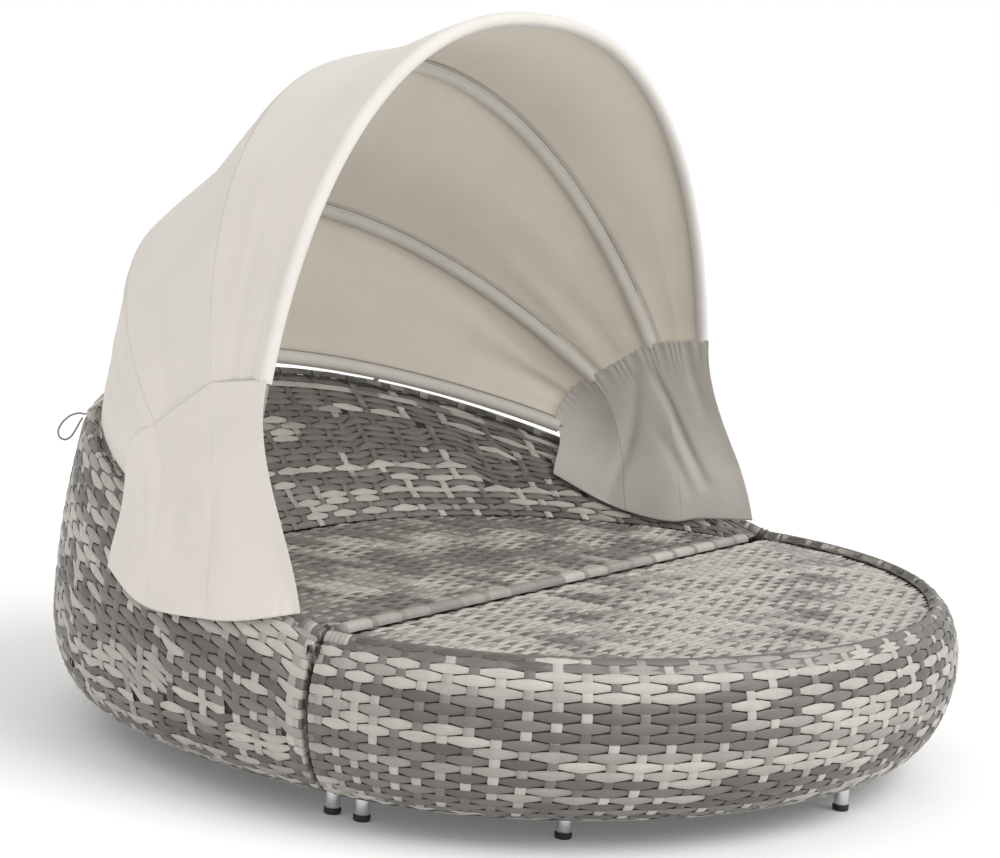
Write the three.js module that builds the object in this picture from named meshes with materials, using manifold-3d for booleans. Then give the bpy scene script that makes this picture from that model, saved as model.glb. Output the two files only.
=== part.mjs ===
// Round wicker daybed in two modules, with a folding canopy on four bows.
// Millimetres, +Z up, +X to the right of someone who faces the backrest, +Y towards the back.
// The two modules meet at y = 0 while the model is built; the last lines move the origin
// to the floor point under the middle of the outline.
import * as THREE from "three";
import { mergeVertices } from "three/addons/utils/BufferGeometryUtils.js";
import Module from "manifold-3d";

const wasm = await Module();
wasm.setup();

// Plan and heights of the wicker shell
const rim_half_width = 875;
const front_rim_length = 710;
const rear_rim_length = 990;
const front_rim_height = 355;
const back_rim_height = 652;
const seat_drop = 14;
const belly_height = 239;
const belly_bulge = 40;
const wall_bottom_height = 55;
const wall_bottom_tuck = 112;
const module_gap = 11;
const front_outline_power = 1.97;
const rear_outline_power = 2.32;
const seat_corner_width_share = 0.9055;
const seat_corner_length_share = 0.689;

// Wicker
const weave_thickness = 6;
const seat_thickness = 8;
const roll_radius = 13.5;
const roll_outer_leg = 7.7;

// Frame, legs and clearances
const rim_tube_radius = 10;
const ring_tube_radius = 11;
const post_tube_radius = 8;
const strut_radius = 6;
const split_tube_row = 32;
const front_seat_ring_inset = 36;
const leg_radius = 14;
const leg_wall_clearance = 3;
const cap_radius = 15.5;
const cap_height = 12;
const cap_cup_depth = 7;
const corner_leg_inset = 120;
const middle_leg_row = 345;
const front_middle_leg_inset = 68.5;
const rear_middle_leg_inset = 173.5;
const touch_gap = 0.3;
const split_edge_clearance = 0.9;
const split_top_step = 5;

// Canopy: four bows on one pivot each side
const pivot_share = 0.31;
const pivot_rise = 21.4;
const bow_tube_radius = 9.5;
const eye_thickness = 5;
const eye_radius = 13;
const eye_flat_length = 112;
const eye_blend_length = 45;
const washer_thickness = 1.4;
const washer_radius = 11.5;
const bolt_radius = 5;
const bolt_clearance = 0.3;
const bolt_head_radius = 8.5;
const bolt_head_height = 5.5;
const nut_across_flats = 15;
const nut_height = 6;
const bracket_wall = 4;
const bracket_length = 32;
const bracket_cheek = 7;
const bracket_seat_clearance = 1.6;
const ear_clearance = 0.9;

// How far the bows reach from the pivot, and where the rear one stands over the back rim
const front_bow_reach = 1013;
const second_bow_reach = 972;
const third_bow_reach = 900;
const rear_bow_lift = 41.6;
const rear_bow_inset = 10;

// Canopy cloth
const cloth_thickness = 2;
const cloth_lift = 2.8;
const seam_radius = 330;
const front_panel_sag = 13;
const middle_panel_sag = 17;
const rear_panel_sag = 11;
const flap_seam_drop = 1.6;
const flap_fold_depth = 6;
const flap_fold_count = 3;
const outer_flap_clearance = 10;
const inner_flap_clearance = 9;
const flap_bow_clearance = 2.5;
// Hem of each flap, front to back: turn round the shell in degrees, share of the wall's height
const outer_hem_shares = [[0.9, 1.17], [7, 0.7], [12, 0.55], [17.4, 0.45], [21.7, 0.45], [27.3, 0.52]];
const inner_hem_shares = [[3.4, 1.05], [7, 0.42], [12.5, 0.12], [19, 0.14], [25, 0.26], [32, 0.5]];
const flap_spread_share = 0.7;
const flap_belly_share = 0.5;

// Ties
const side_tie_wrap = 10;
const middle_tie_wrap = 4;
// Turn of each tie round the shell, and how far its strap runs past the middle of the edge
const ties = {
  left: { turn: 122, wrap: side_tie_wrap },
  middle: { turn: 90, wrap: middle_tie_wrap },
  right: { turn: 58, wrap: side_tie_wrap },
};
const tie_width = 12;
const tie_thickness = 1.6;
const tie_clearance = 0.6;
const tie_hem_gap = 0.6;
const tie_cord_diameter = 4;
const tie_cord_lift = 0.8;
// Run of the loose cord from the end of its strap
const tie_cord_offsets = [
  [0, 0, 0], [-7, 13, 1], [-17, 27, -6], [-25, 38, -20], [-29, 44, -36], [-25, 43, -50],
  [-16, 36, -55], [-8, 28, -48], [-4, 20, -33], [-2, 13, -18], [-1, 7, -8],
];

const post_shares = [0, 0.25, 0.5, 0.75, 1];
const half_turn = 180;

// Facets
const turn_steps = 28;
const wall_upper_steps = 4;
const wall_lower_steps = 4;
const roll_steps = 5;
const tube_sides = 8;
const frame_sides = 6;
const round_sides = 14;
const bow_steps = 11;
const panel_steps = { along: 24, across: 5 };
const flap_steps = { along: 16, down: 8 };

const colours = {
  wicker: { color: 0xa7a29b, roughness: 0.62, metalness: 0 },
  aluminium: { color: 0xc9cbcc, roughness: 0.32, metalness: 0.9 },
  black: { color: 0x1b1b1c, roughness: 0.55, metalness: 0 },
  powder_grey: { color: 0x8d8c88, roughness: 0.5, metalness: 0.3 },
  steel: { color: 0xb7b8ba, roughness: 0.3, metalness: 1 },
  cloth: { color: 0xe1dbd1, roughness: 0.9, metalness: 0 },
};

const seat_height = front_rim_height - seat_drop;
const half_gap = module_gap / 2;
const front = {
  side: -1,
  length: front_rim_length,
  power: front_outline_power,
  rise: 0,
  middle_leg_inset: front_middle_leg_inset,
};
const rear = {
  side: 1,
  length: rear_rim_length,
  power: rear_outline_power,
  rise: back_rim_height - front_rim_height,
  middle_leg_inset: rear_middle_leg_inset,
};

const model = new THREE.Group();

function add(name, geometry, finish) {
  const mesh = new THREE.Mesh(geometry, new THREE.MeshStandardMaterial(colours[finish]));
  mesh.name = name;
  model.add(mesh);
  return mesh;
}

// Solids from meshes and back
function solid(geometry) {
  const bare = geometry.index ? geometry.toNonIndexed() : geometry.clone();
  const position = new THREE.BufferGeometry().setAttribute("position", bare.getAttribute("position"));
  const merged = mergeVertices(position, 1e-3);
  return new wasm.Manifold(new wasm.Mesh({
    numProp: 3,
    vertProperties: merged.attributes.position.array,
    triVerts: new Uint32Array(merged.index.array),
  }));
}

function shown(body) {
  const mesh = body.getMesh();
  const geometry = new THREE.BufferGeometry();
  geometry.setAttribute("position", new THREE.BufferAttribute(mesh.vertProperties, 3));
  geometry.setIndex(new THREE.BufferAttribute(mesh.triVerts, 1));
  geometry.computeVertexNormals();
  return geometry;
}

function joined(geometries) {
  return shown(geometries.map(solid).reduce((whole, piece) => whole.add(piece)));
}

// Closed solid between two grids of points that face each other
function slab(columns, rows, face, back) {
  const positions = [];
  const triangles = [];
  const across = rows + 1;
  const layer = (columns + 1) * across;
  for (const point of [face, back])
    for (let i = 0; i <= columns; i++)
      for (let j = 0; j <= rows; j++)
        positions.push(...point(i / columns, j / rows).toArray());
  const at = (side, i, j) => side * layer + i * across + j;
  const quad = (a, b, c, d) => triangles.push(a, b, c, a, c, d);
  for (let i = 0; i < columns; i++)
    for (let j = 0; j < rows; j++) {
      quad(at(0, i, j), at(0, i + 1, j), at(0, i + 1, j + 1), at(0, i, j + 1));
      quad(at(1, i, j), at(1, i, j + 1), at(1, i + 1, j + 1), at(1, i + 1, j));
    }
  for (let i = 0; i < columns; i++) {
    quad(at(0, i, 0), at(1, i, 0), at(1, i + 1, 0), at(0, i + 1, 0));
    quad(at(0, i, rows), at(0, i + 1, rows), at(1, i + 1, rows), at(1, i, rows));
  }
  for (let j = 0; j < rows; j++) {
    quad(at(0, 0, j), at(0, 0, j + 1), at(1, 0, j + 1), at(1, 0, j));
    quad(at(0, columns, j), at(1, columns, j), at(1, columns, j + 1), at(0, columns, j + 1));
  }
  return outward(positions, triangles);
}

// Closed solid through a row of rings with the same number of points
function loft(rings) {
  const sides = rings[0].length;
  const positions = rings.flat().flatMap((point) => point.toArray());
  const triangles = [];
  for (let i = 0; i < rings.length - 1; i++)
    for (let j = 0; j < sides; j++) {
      const a = i * sides + j;
      const b = i * sides + (j + 1) % sides;
      triangles.push(a, b, b + sides, a, b + sides, a + sides);
    }
  const last = (rings.length - 1) * sides;
  for (let j = 1; j < sides - 1; j++)
    triangles.push(0, j + 1, j, last, last + j, last + j + 1);
  return outward(positions, triangles);
}

// Turns the faces outward where the grid ran the other way round
function outward(positions, triangles) {
  const corner = (k) => new THREE.Vector3().fromArray(positions, 3 * triangles[k]);
  let volume = 0;
  for (let k = 0; k < triangles.length; k += 3)
    volume += corner(k).dot(corner(k + 1).cross(corner(k + 2)));
  if (volume < 0)
    for (let k = 0; k < triangles.length; k += 3)
      [triangles[k], triangles[k + 1]] = [triangles[k + 1], triangles[k]];
  const geometry = new THREE.BufferGeometry();
  geometry.setAttribute("position", new THREE.Float32BufferAttribute(positions, 3));
  geometry.setIndex(triangles);
  geometry.computeVertexNormals();
  return geometry;
}

// Shell surfaces: turn runs from 0 at the right split corner to a half turn at the left one
function outline(module, turn) {
  const angle = THREE.MathUtils.degToRad(turn);
  const across = Math.cos(angle);
  const along = Math.max(Math.sin(angle), 0);
  const power = 2 / module.power;
  const x = rim_half_width * Math.sign(across) * Math.abs(across) ** power;
  const y = half_gap + (module.length - half_gap) * along ** power;
  const steep = 2 - power;
  const normal = new THREE.Vector2(
    Math.sign(across) * Math.abs(across) ** steep / rim_half_width,
    along ** steep / module.length,
  ).normalize();
  return { x, y, normal };
}

function plan_point(module, turn, reach, z) {
  const { x, y, normal } = outline(module, turn);
  return new THREE.Vector3(x + reach * normal.x, module.side * (y + reach * normal.y), z);
}

function rim_height(module, turn) {
  return front_rim_height + module.rise * outline(module, turn).y / module.length;
}

function rim_centre(module, turn) {
  return plan_point(module, turn, -roll_inset, rim_height(module, turn) - roll_radius);
}

const bottom_drop = belly_height - wall_bottom_height;

// Point of the outer wall at a signed share of its height: 1 at the rim, 0 at the belly,
// -1 at the bottom edge, and depth inside the outer face
function wall_point(module, turn, share, depth) {
  const top = rim_height(module, turn);
  const upper = share >= 0;
  const bend = -share * Math.PI / 2;
  const reach = upper
    ? belly_bulge * (1 - share * share)
    : belly_bulge - wall_bottom_tuck * (1 - Math.cos(bend));
  const z = upper
    ? belly_height + (top - belly_height) * share
    : belly_height - bottom_drop * Math.sin(bend);
  const normal = upper
    ? new THREE.Vector2(top - belly_height, 2 * belly_bulge * share).normalize()
    : new THREE.Vector2(bottom_drop * Math.cos(bend), -wall_bottom_tuck * Math.sin(bend)).normalize();
  return plan_point(module, turn, reach - depth * normal.x, z - depth * normal.y);
}

const roll_inset = roll_radius;
const arm_slope = Math.atan2(rear.rise, rear.length);
const rim_tube_upright = rim_tube_radius / Math.cos(arm_slope);
const roll_bore = (rim_tube_upright + touch_gap) / Math.cos(Math.PI / (2 * roll_steps));
const wall_top_drop = roll_radius + roll_outer_leg + touch_gap;

// Signed height share of one of the wall's rows, counted down from just under the roll
function wall_share(module, turn, row) {
  const highest = 1 - wall_top_drop / (rim_height(module, turn) - belly_height);
  return row <= wall_upper_steps
    ? highest * (1 - row / wall_upper_steps)
    : (wall_upper_steps - row) / wall_lower_steps;
}

function outer_wall(module) {
  const rows = wall_upper_steps + wall_lower_steps;
  const at = (depth) => (i, j) => {
    const turn = half_turn * i;
    return wall_point(module, turn, wall_share(module, turn, j * rows), depth);
  };
  return slab(turn_steps, rows, at(0), at(weave_thickness));
}

// Line where the rear seat meets the backrest
function seat_corner(turn, reach, z) {
  const { x, y, normal } = outline(rear, turn);
  return new THREE.Vector3(
    x * seat_corner_width_share + reach * normal.x,
    half_gap + (y - half_gap) * seat_corner_length_share + reach * normal.y,
    z,
  );
}

// Point of the backrest's front face: share 0 at the seat, 1 under the roll
function back_point(turn, share, depth) {
  const low = seat_corner(turn, 0, seat_height);
  const high = plan_point(rear, turn, -2 * roll_radius - touch_gap, rim_height(rear, turn) - roll_radius);
  const { normal } = outline(rear, turn);
  const run = (high.x - low.x) * normal.x + (high.y - low.y) * normal.y;
  const slope = new THREE.Vector2(run, high.z - low.z).normalize();
  const point = low.lerp(high, share);
  point.x += depth * slope.y * normal.x;
  point.y += depth * slope.y * normal.y;
  point.z -= depth * slope.x;
  return point;
}

function backrest() {
  const face = (i, j) => back_point(half_turn * i, j, 0);
  const back = (i, j) => back_point(half_turn * i, j, weave_thickness);
  return slab(turn_steps, 3, face, back);
}

// Wrapped edge: an arch over the rim tube, whose outer leg runs out to the wall's top edge
function rim_roll(module) {
  const at = (radius, depth) => (i, j) => {
    const turn = half_turn * i;
    const centre = rim_height(module, turn) - roll_radius;
    const row = j * (roll_steps + 1);
    if (row < 1) {
      const wall_edge = wall_point(module, turn, wall_share(module, turn, 0), depth);
      return wall_edge.setZ(wall_edge.z + touch_gap);
    }
    const angle = Math.PI * (row - 1) / roll_steps;
    const reach = radius * Math.cos(angle) - roll_inset;
    return plan_point(module, turn, reach, centre + radius * Math.sin(angle));
  };
  return slab(turn_steps, roll_steps + 1, at(roll_radius, 0), at(roll_bore, weave_thickness));
}

// Flat plate whose outline follows the shell at one height
function plate(points, thickness, z) {
  const shape = new THREE.Shape(points.map((point) => new THREE.Vector2(point.x, point.y)));
  const geometry = new THREE.ExtrudeGeometry(shape, { depth: thickness, bevelEnabled: false });
  return geometry.translate(0, 0, z);
}

function turns() {
  return Array.from({ length: turn_steps + 1 }, (_, i) => half_turn * i / turn_steps);
}

// Upright panel that closes a module where the two meet
function split_panel(module) {
  const inset = weave_thickness + split_edge_clearance;
  const top = seat_height - seat_thickness - touch_gap;
  const right = [];
  for (let row = wall_upper_steps + wall_lower_steps; row >= 0; row--)
    right.push(wall_point(module, 0, wall_share(module, 0, row), inset));
  const outline_points = right.map((point) => new THREE.Vector2(point.x, Math.min(point.z, top)));
  outline_points.push(new THREE.Vector2(outline_points.at(-1).x - split_top_step, top));
  const mirrored = outline_points.map((point) => new THREE.Vector2(-point.x, point.y)).reverse();
  const shape = new THREE.Shape([...outline_points, ...mirrored]);
  const geometry = new THREE.ExtrudeGeometry(shape, { depth: weave_thickness, bevelEnabled: false });
  geometry.rotateX(Math.PI / 2);
  return geometry.translate(0, module.side > 0 ? half_gap + weave_thickness : -half_gap, 0);
}

// Tubes
function circle_shape(radius, sides) {
  const corners = Array.from({ length: sides }, (_, i) => {
    const angle = 2 * Math.PI * i / sides;
    return new THREE.Vector2(radius * Math.cos(angle), radius * Math.sin(angle));
  });
  return new THREE.Shape(corners);
}

// A path whose steps follow its own parameter, so that tubes and walls bend at the same places
class Path extends THREE.Curve {
  constructor(place) {
    super();
    this.place = place;
  }
  getPoint(share) {
    return this.place(share);
  }
  getTangent(share) {
    const step = 1 / turn_steps;
    const ahead = this.place(Math.min(share + step, 1));
    return ahead.sub(this.place(Math.max(share - step, 0))).normalize();
  }
  getUtoTmapping(share) {
    return share;
  }
}

function swept(path, radius, steps, sides) {
  return new THREE.ExtrudeGeometry(circle_shape(radius, sides), {
    steps,
    extrudePath: path,
    bevelEnabled: false,
  });
}

function straight(from, to, radius, sides = frame_sides) {
  return swept(new THREE.LineCurve3(from, to), radius, 1, sides);
}

// A ring starts and ends on the row of the straight tube that closes it
function ring_path(place) {
  const step = half_turn / turn_steps;
  return new Path((share) => {
    const point = place(half_turn * share);
    const row = Math.abs(point.y);
    if (row >= split_tube_row) return point;
    const next = place(share < 0.5 ? step : half_turn - step);
    return point.lerp(next, (split_tube_row - row) / (Math.abs(next.y) - row));
  });
}

const seat_ring_height = seat_height - seat_thickness - touch_gap - ring_tube_radius;
const base_ring_height = wall_bottom_height + weave_thickness + touch_gap + ring_tube_radius;
const base_ring_reach = belly_bulge - wall_bottom_tuck - leg_radius - leg_wall_clearance;
const strut_depth = weave_thickness + touch_gap + strut_radius;

function base_ring(module) {
  return ring_path((turn) => plan_point(module, turn, base_ring_reach, base_ring_height));
}

function frame(module) {
  const rim = (turn) => rim_centre(module, turn);
  const seat = module === rear
    ? (turn) => seat_corner(turn, 0, seat_ring_height)
    : (turn) => plan_point(module, turn, -front_seat_ring_inset, seat_ring_height);
  const rings = [
    { path: ring_path(rim), radius: rim_tube_radius },
    { path: ring_path(seat), radius: ring_tube_radius },
    { path: base_ring(module), radius: ring_tube_radius },
  ];
  const pieces = rings.map(({ path, radius }) => swept(path, radius, turn_steps, frame_sides));
  const [rim_path, seat_path, base_path] = rings.map(({ path }) => path);
  for (const path of [seat_path, base_path])
    pieces.push(straight(path.getPoint(0), path.getPoint(1), ring_tube_radius));
  for (const share of post_shares) {
    pieces.push(straight(base_path.getPoint(share), rim_path.getPoint(share), post_tube_radius));
    if (module !== rear) continue;
    pieces.push(straight(base_path.getPoint(share), seat_path.getPoint(share), post_tube_radius));
    const foot = seat_corner(half_turn * share, strut_depth, seat_ring_height);
    const head = back_point(half_turn * share, 1, strut_depth);
    if (share > 0 && share < 1) pieces.push(straight(foot, head, strut_radius));
  }
  for (const path of [seat_path, base_path]) {
    const near = cross_ends(module, path);
    pieces.push(straight(near[0], near[1], ring_tube_radius));
  }
  return joined(pieces);
}

// Ends of the cross tube that stands over the middle legs
function cross_ends(module, path) {
  let share = 0;
  while (Math.abs(path.getPoint(share).y) < middle_leg_row) share += 1 / (8 * turn_steps);
  const end = path.getPoint(share);
  const right = new THREE.Vector3(end.x, module.side * middle_leg_row, end.z);
  return [right, new THREE.Vector3(-end.x, right.y, end.z)];
}

// Legs stand under the base ring's tubes, each with a rounded black cap over its foot
function leg_places(module) {
  const far = outline(module, half_turn / 2).y + base_ring_reach;
  const corner = rim_half_width - corner_leg_inset;
  const middle = cross_ends(module, base_ring(module))[0].x - module.middle_leg_inset;
  return {
    corner_left: [-corner, split_tube_row],
    corner_right: [corner, split_tube_row],
    middle_left: [-middle, middle_leg_row],
    middle_right: [middle, middle_leg_row],
    centre: [0, far],
  };
}

function leg() {
  const foot = cap_height - cap_cup_depth + touch_gap;
  const top = base_ring_height - ring_tube_radius - touch_gap;
  const profile = [[0, foot], [leg_radius, foot], [leg_radius, top], [0, top]];
  return new THREE.LatheGeometry(profile.map(([r, z]) => new THREE.Vector2(r, z)), round_sides)
    .rotateX(Math.PI / 2);
}

function leg_cap() {
  const floor = cap_height - cap_cup_depth;
  const bore = leg_radius + touch_gap;
  const wall = cap_radius + bolt_clearance;
  const round = floor / 2;
  const profile = [
    [0, 0], [wall - round, 0], [wall, round], [wall, cap_height],
    [bore, cap_height], [bore, floor], [0, floor],
  ];
  return new THREE.LatheGeometry(profile.map(([r, z]) => new THREE.Vector2(r, z)), round_sides)
    .rotateX(Math.PI / 2);
}

// Canopy pivot, on the wrapped edge of each arm
const [arm_from, arm_to] = [1, 2].map((column) => rim_centre(rear, half_turn * column / turn_steps));
const arm_run = arm_to.clone().sub(arm_from);
const pivot = arm_from.clone().lerp(arm_to, pivot_share);
pivot.z += roll_radius + pivot_rise;
const saddle_rise = pivot_rise * Math.cos(arm_slope);
const arm_heading = Math.atan2(-arm_run.x, arm_run.y);

const back_rim = rim_centre(rear, half_turn / 2);
const rear_bow_run = back_rim.y - rear_bow_inset - pivot.y;
const rear_bow_climb = back_rim.z + rear_bow_lift - pivot.z;
const rear_bow_reach = Math.hypot(rear_bow_run, rear_bow_climb);
const rear_bow_plane = half_turn - THREE.MathUtils.radToDeg(Math.atan2(rear_bow_climb, rear_bow_run));

// One entry for each bow, front to rear: plane angle from the front, reach, power of its
// outline, and its place in the stack of eyes counted from the inside
const bows = [
  { name: "bow_front", plane_deg: 89.8, reach: front_bow_reach, power: 2.31, stack: 3 },
  { name: "bow_second", plane_deg: 111, reach: second_bow_reach, power: 2.15, stack: 2 },
  { name: "bow_third", plane_deg: 139, reach: third_bow_reach, power: 2.11, stack: 1 },
  { name: "bow_rear", plane_deg: rear_bow_plane, reach: rear_bow_reach, power: 1.95, stack: 0 },
];

const stack_pitch = eye_thickness + washer_thickness + 2 * touch_gap;
const stack_half = (bows.length - 1) * stack_pitch / 2 + eye_thickness / 2;

function eye_offset(stack) {
  return (stack - (bows.length - 1) / 2) * stack_pitch;
}

// Point of a bow's centre line: turn 0 at the right pivot, a half turn at the left one,
// lifted off the tube by lift
function bow_point(bow, turn, lift = 0) {
  const angle = THREE.MathUtils.degToRad(turn);
  const plane = THREE.MathUtils.degToRad(bow.plane_deg);
  const power = 2 / bow.power;
  const half_width = pivot.x + eye_offset(bow.stack) + lift;
  const across = Math.cos(angle);
  const out = (bow.reach + lift) * Math.max(Math.sin(angle), 0) ** power;
  return new THREE.Vector3(
    half_width * Math.sign(across) * Math.abs(across) ** power,
    pivot.y - out * Math.cos(plane),
    pivot.z + out * Math.sin(plane),
  );
}

// Turn at which a bow is a given distance from its pivot
function bow_turn(bow, distance) {
  const sine = (distance / bow.reach) ** (bow.power / 2);
  return THREE.MathUtils.radToDeg(Math.asin(sine));
}

const tangent_step = 0.05;

function bow_tube(bow) {
  const eye_turn = bow_turn(bow, eye_radius / 2);
  const flat_turn = bow_turn(bow, eye_flat_length);
  const round_turn = bow_turn(bow, eye_flat_length + eye_blend_length);
  const flats = [eye_turn, flat_turn].map((turn) => ({ turn, flat: true }));
  const rounds = Array.from({ length: bow_steps + 1 }, (_, i) =>
    ({ turn: round_turn + (half_turn / 2 - round_turn) * i / bow_steps, flat: false }));
  const near = [...flats, ...rounds];
  const far = near.slice(0, -1).reverse().map(({ turn, flat }) => ({ turn: half_turn - turn, flat }));
  const flat_half = eye_thickness / 2;
  const wide_half = bow_tube_radius * Math.PI / 2 - flat_half;
  const plane = THREE.MathUtils.degToRad(bow.plane_deg);
  const off_plane = new THREE.Vector3(0, Math.sin(plane), Math.cos(plane));
  const rings = [...near, ...far].map(({ turn, flat }) => {
    const centre = bow_point(bow, turn);
    const ahead = bow_point(bow, Math.min(turn + tangent_step, half_turn));
    const behind = bow_point(bow, Math.max(turn - tangent_step, 0));
    const tangent = ahead.sub(behind).normalize();
    const in_plane = new THREE.Vector3().crossVectors(off_plane, tangent).normalize();
    const thick = flat ? flat_half : bow_tube_radius;
    const wide = flat ? wide_half : bow_tube_radius;
    return Array.from({ length: tube_sides }, (_, k) => {
      const angle = 2 * Math.PI * (k + 0.5) / tube_sides;
      return centre.clone()
        .addScaledVector(in_plane, thick * Math.cos(angle))
        .addScaledVector(off_plane, wide * Math.sin(angle));
    });
  });
  let body = solid(loft(rings));
  for (const side of [-1, 1]) {
    const x = side * (pivot.x + eye_offset(bow.stack));
    body = body.add(solid(disc(eye_radius, eye_thickness, x)));
    body = body.subtract(solid(disc(bolt_radius + bolt_clearance, 2 * eye_thickness, x)));
  }
  return shown(body);
}

// Disc on the pivot axis, centred at x
function disc(radius, thickness, x, sides = round_sides) {
  return new THREE.CylinderGeometry(radius, radius, thickness, sides)
    .rotateZ(Math.PI / 2)
    .translate(x, pivot.y, pivot.z);
}

function washer(side, index) {
  const x = side * (pivot.x + (eye_offset(index) + eye_offset(index + 1)) / 2);
  const bore = disc(bolt_radius + bolt_clearance, 2 * washer_thickness, x);
  return shown(solid(disc(washer_radius, washer_thickness, x)).subtract(solid(bore)));
}

const ear_inner = stack_half + ear_clearance;
const ear_outer = ear_inner + bracket_wall;

// Saddle that grips the wrapped edge, with two ears for the pivot bolt
function bracket(side) {
  const height = saddle_rise + bracket_cheek;
  const block = new THREE.BoxGeometry(2 * ear_outer, bracket_length, height)
    .translate(0, 0, height / 2 - saddle_rise - bracket_cheek);
  const slot_floor = -saddle_rise + touch_gap + bracket_wall;
  const slot = new THREE.BoxGeometry(2 * ear_inner, 2 * bracket_length, 2 * saddle_rise)
    .translate(0, 0, slot_floor + saddle_rise);
  const groove_radius = roll_radius + bracket_seat_clearance;
  const groove_depth = saddle_rise + groove_radius - touch_gap;
  const groove_shift = groove_depth * Math.sin(arm_slope) * Math.tan(arm_heading);
  const groove = new THREE.CylinderGeometry(groove_radius, groove_radius, 2 * bracket_length, 2 * round_sides)
    .rotateZ(side * arm_heading)
    .translate(-side * groove_shift, 0, -groove_depth);
  const knuckle = new THREE.CylinderGeometry(eye_radius, eye_radius, 2 * ear_outer, round_sides)
    .rotateZ(Math.PI / 2);
  const bore_radius = bolt_radius + touch_gap;
  const bore = new THREE.CylinderGeometry(bore_radius, bore_radius, 4 * ear_outer, round_sides)
    .rotateZ(Math.PI / 2);
  const body = solid(block).add(solid(knuckle)).subtract(solid(slot))
    .subtract(solid(groove)).subtract(solid(bore));
  return shown(body)
    .rotateX(arm_slope)
    .translate(side * pivot.x, pivot.y, pivot.z);
}

// Bolt with a domed head outside and a nut inside
function pivot_bolt(side) {
  const inner_end = -ear_outer - nut_height - 2 * touch_gap;
  const head = ear_outer + touch_gap;
  const crown = bolt_head_radius / 3;
  const profile = [
    [0, inner_end], [bolt_radius, inner_end], [bolt_radius, head], [bolt_head_radius, head],
    [bolt_head_radius, head + bolt_head_height / 2], [crown, head + bolt_head_height],
    [0, head + bolt_head_height],
  ];
  return new THREE.LatheGeometry(profile.map(([r, z]) => new THREE.Vector2(r, z)), round_sides)
    .rotateZ(-Math.PI / 2 * side)
    .translate(side * pivot.x, pivot.y, pivot.z);
}

function pivot_nut(side) {
  const corner_radius = nut_across_flats / Math.sqrt(3);
  const x = side * (pivot.x - ear_outer - touch_gap - nut_height / 2);
  const bore = disc(bolt_radius + touch_gap, 2 * nut_height, x);
  return shown(solid(disc(corner_radius, nut_height, x, 6)).subtract(solid(bore)));
}

// Canopy cloth: one panel between each two bows, hung from just over the tubes
const cloth_offset = bow_tube_radius + cloth_lift + cloth_thickness / 2;

function canopy_point(first, second, sag, across, along) {
  const place = (bow) => {
    const seam_turn = bow_turn(bow, seam_radius);
    return bow_point(bow, seam_turn + (half_turn - 2 * seam_turn) * along, cloth_offset);
  };
  const point = place(first).lerp(place(second), across);
  const inward = new THREE.Vector3(0, pivot.y, pivot.z).sub(point).setX(0).normalize();
  const dip = sag * Math.sin(Math.PI * across) ** 2 * Math.sin(Math.PI * along);
  return point.addScaledVector(inward, dip);
}

// Gives a surface its thickness, half to each side
function thickened(columns, rows, surface) {
  const nudge = 1e-3;
  const at = (side) => (i, j) => {
    const point = surface(i, j);
    const u = surface(Math.min(i + nudge, 1), j).sub(surface(Math.max(i - nudge, 0), j));
    const v = surface(i, Math.min(j + nudge, 1)).sub(surface(i, Math.max(j - nudge, 0)));
    return point.addScaledVector(u.cross(v).normalize(), side * cloth_thickness / 2);
  };
  return slab(columns, rows, at(1), at(-1));
}

function canopy_panel(first, second, sag) {
  const margin = touch_gap / seam_radius;
  return thickened(panel_steps.along, panel_steps.across, (i, j) =>
    canopy_point(first, second, sag, margin + (1 - 2 * margin) * j, i));
}

// Lower edge of the canopy on one side, front to back
function seam_point(side, share) {
  const panels = bows.length - 1;
  const index = Math.min(Math.floor(share * panels), panels - 1);
  const along = side > 0 ? 0 : 1;
  return canopy_point(bows[index], bows[index + 1], 0, share * panels - index, along);
}

const inner_flap_offset = bow_tube_radius + flap_bow_clearance + cloth_thickness / 2;

// Side flap: from the seam down to its hem, with soft upright folds
function flap(side, hem, inside) {
  const rise = new THREE.Vector3();
  return thickened(flap_steps.along, flap_steps.down, (i, j) => {
    const top = seam_point(side, i);
    if (inside) top.x -= side * (cloth_offset + inner_flap_offset);
    const low = hem.getPoint(i);
    rise.subVectors(low, top).normalize();
    const fade = flap_seam_drop * (1 - j);
    const point = top.clone().lerp(low, j).addScaledVector(rise, fade);
    const swell = Math.sin(j ** flap_spread_share * Math.PI / 2) - j;
    point.x += (low.x - top.x) * swell * (inside ? -flap_belly_share : 1);
    const fold = Math.sin(2 * Math.PI * flap_fold_count * i) * Math.sin(j * Math.PI / 2);
    point.x += side * flap_fold_depth * fold * (1 - i * i) * i * 2;
    return point;
  });
}

function outer_hem() {
  return new THREE.CatmullRomCurve3(outer_hem_shares.map(([turn, share]) => {
    const point = wall_point(rear, turn, share, -outer_flap_clearance);
    return point.setX(-point.x);
  }));
}

function inner_hem() {
  return new THREE.CatmullRomCurve3(inner_hem_shares.map(([turn, share]) =>
    back_point(turn, share, -inner_flap_clearance)));
}

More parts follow.
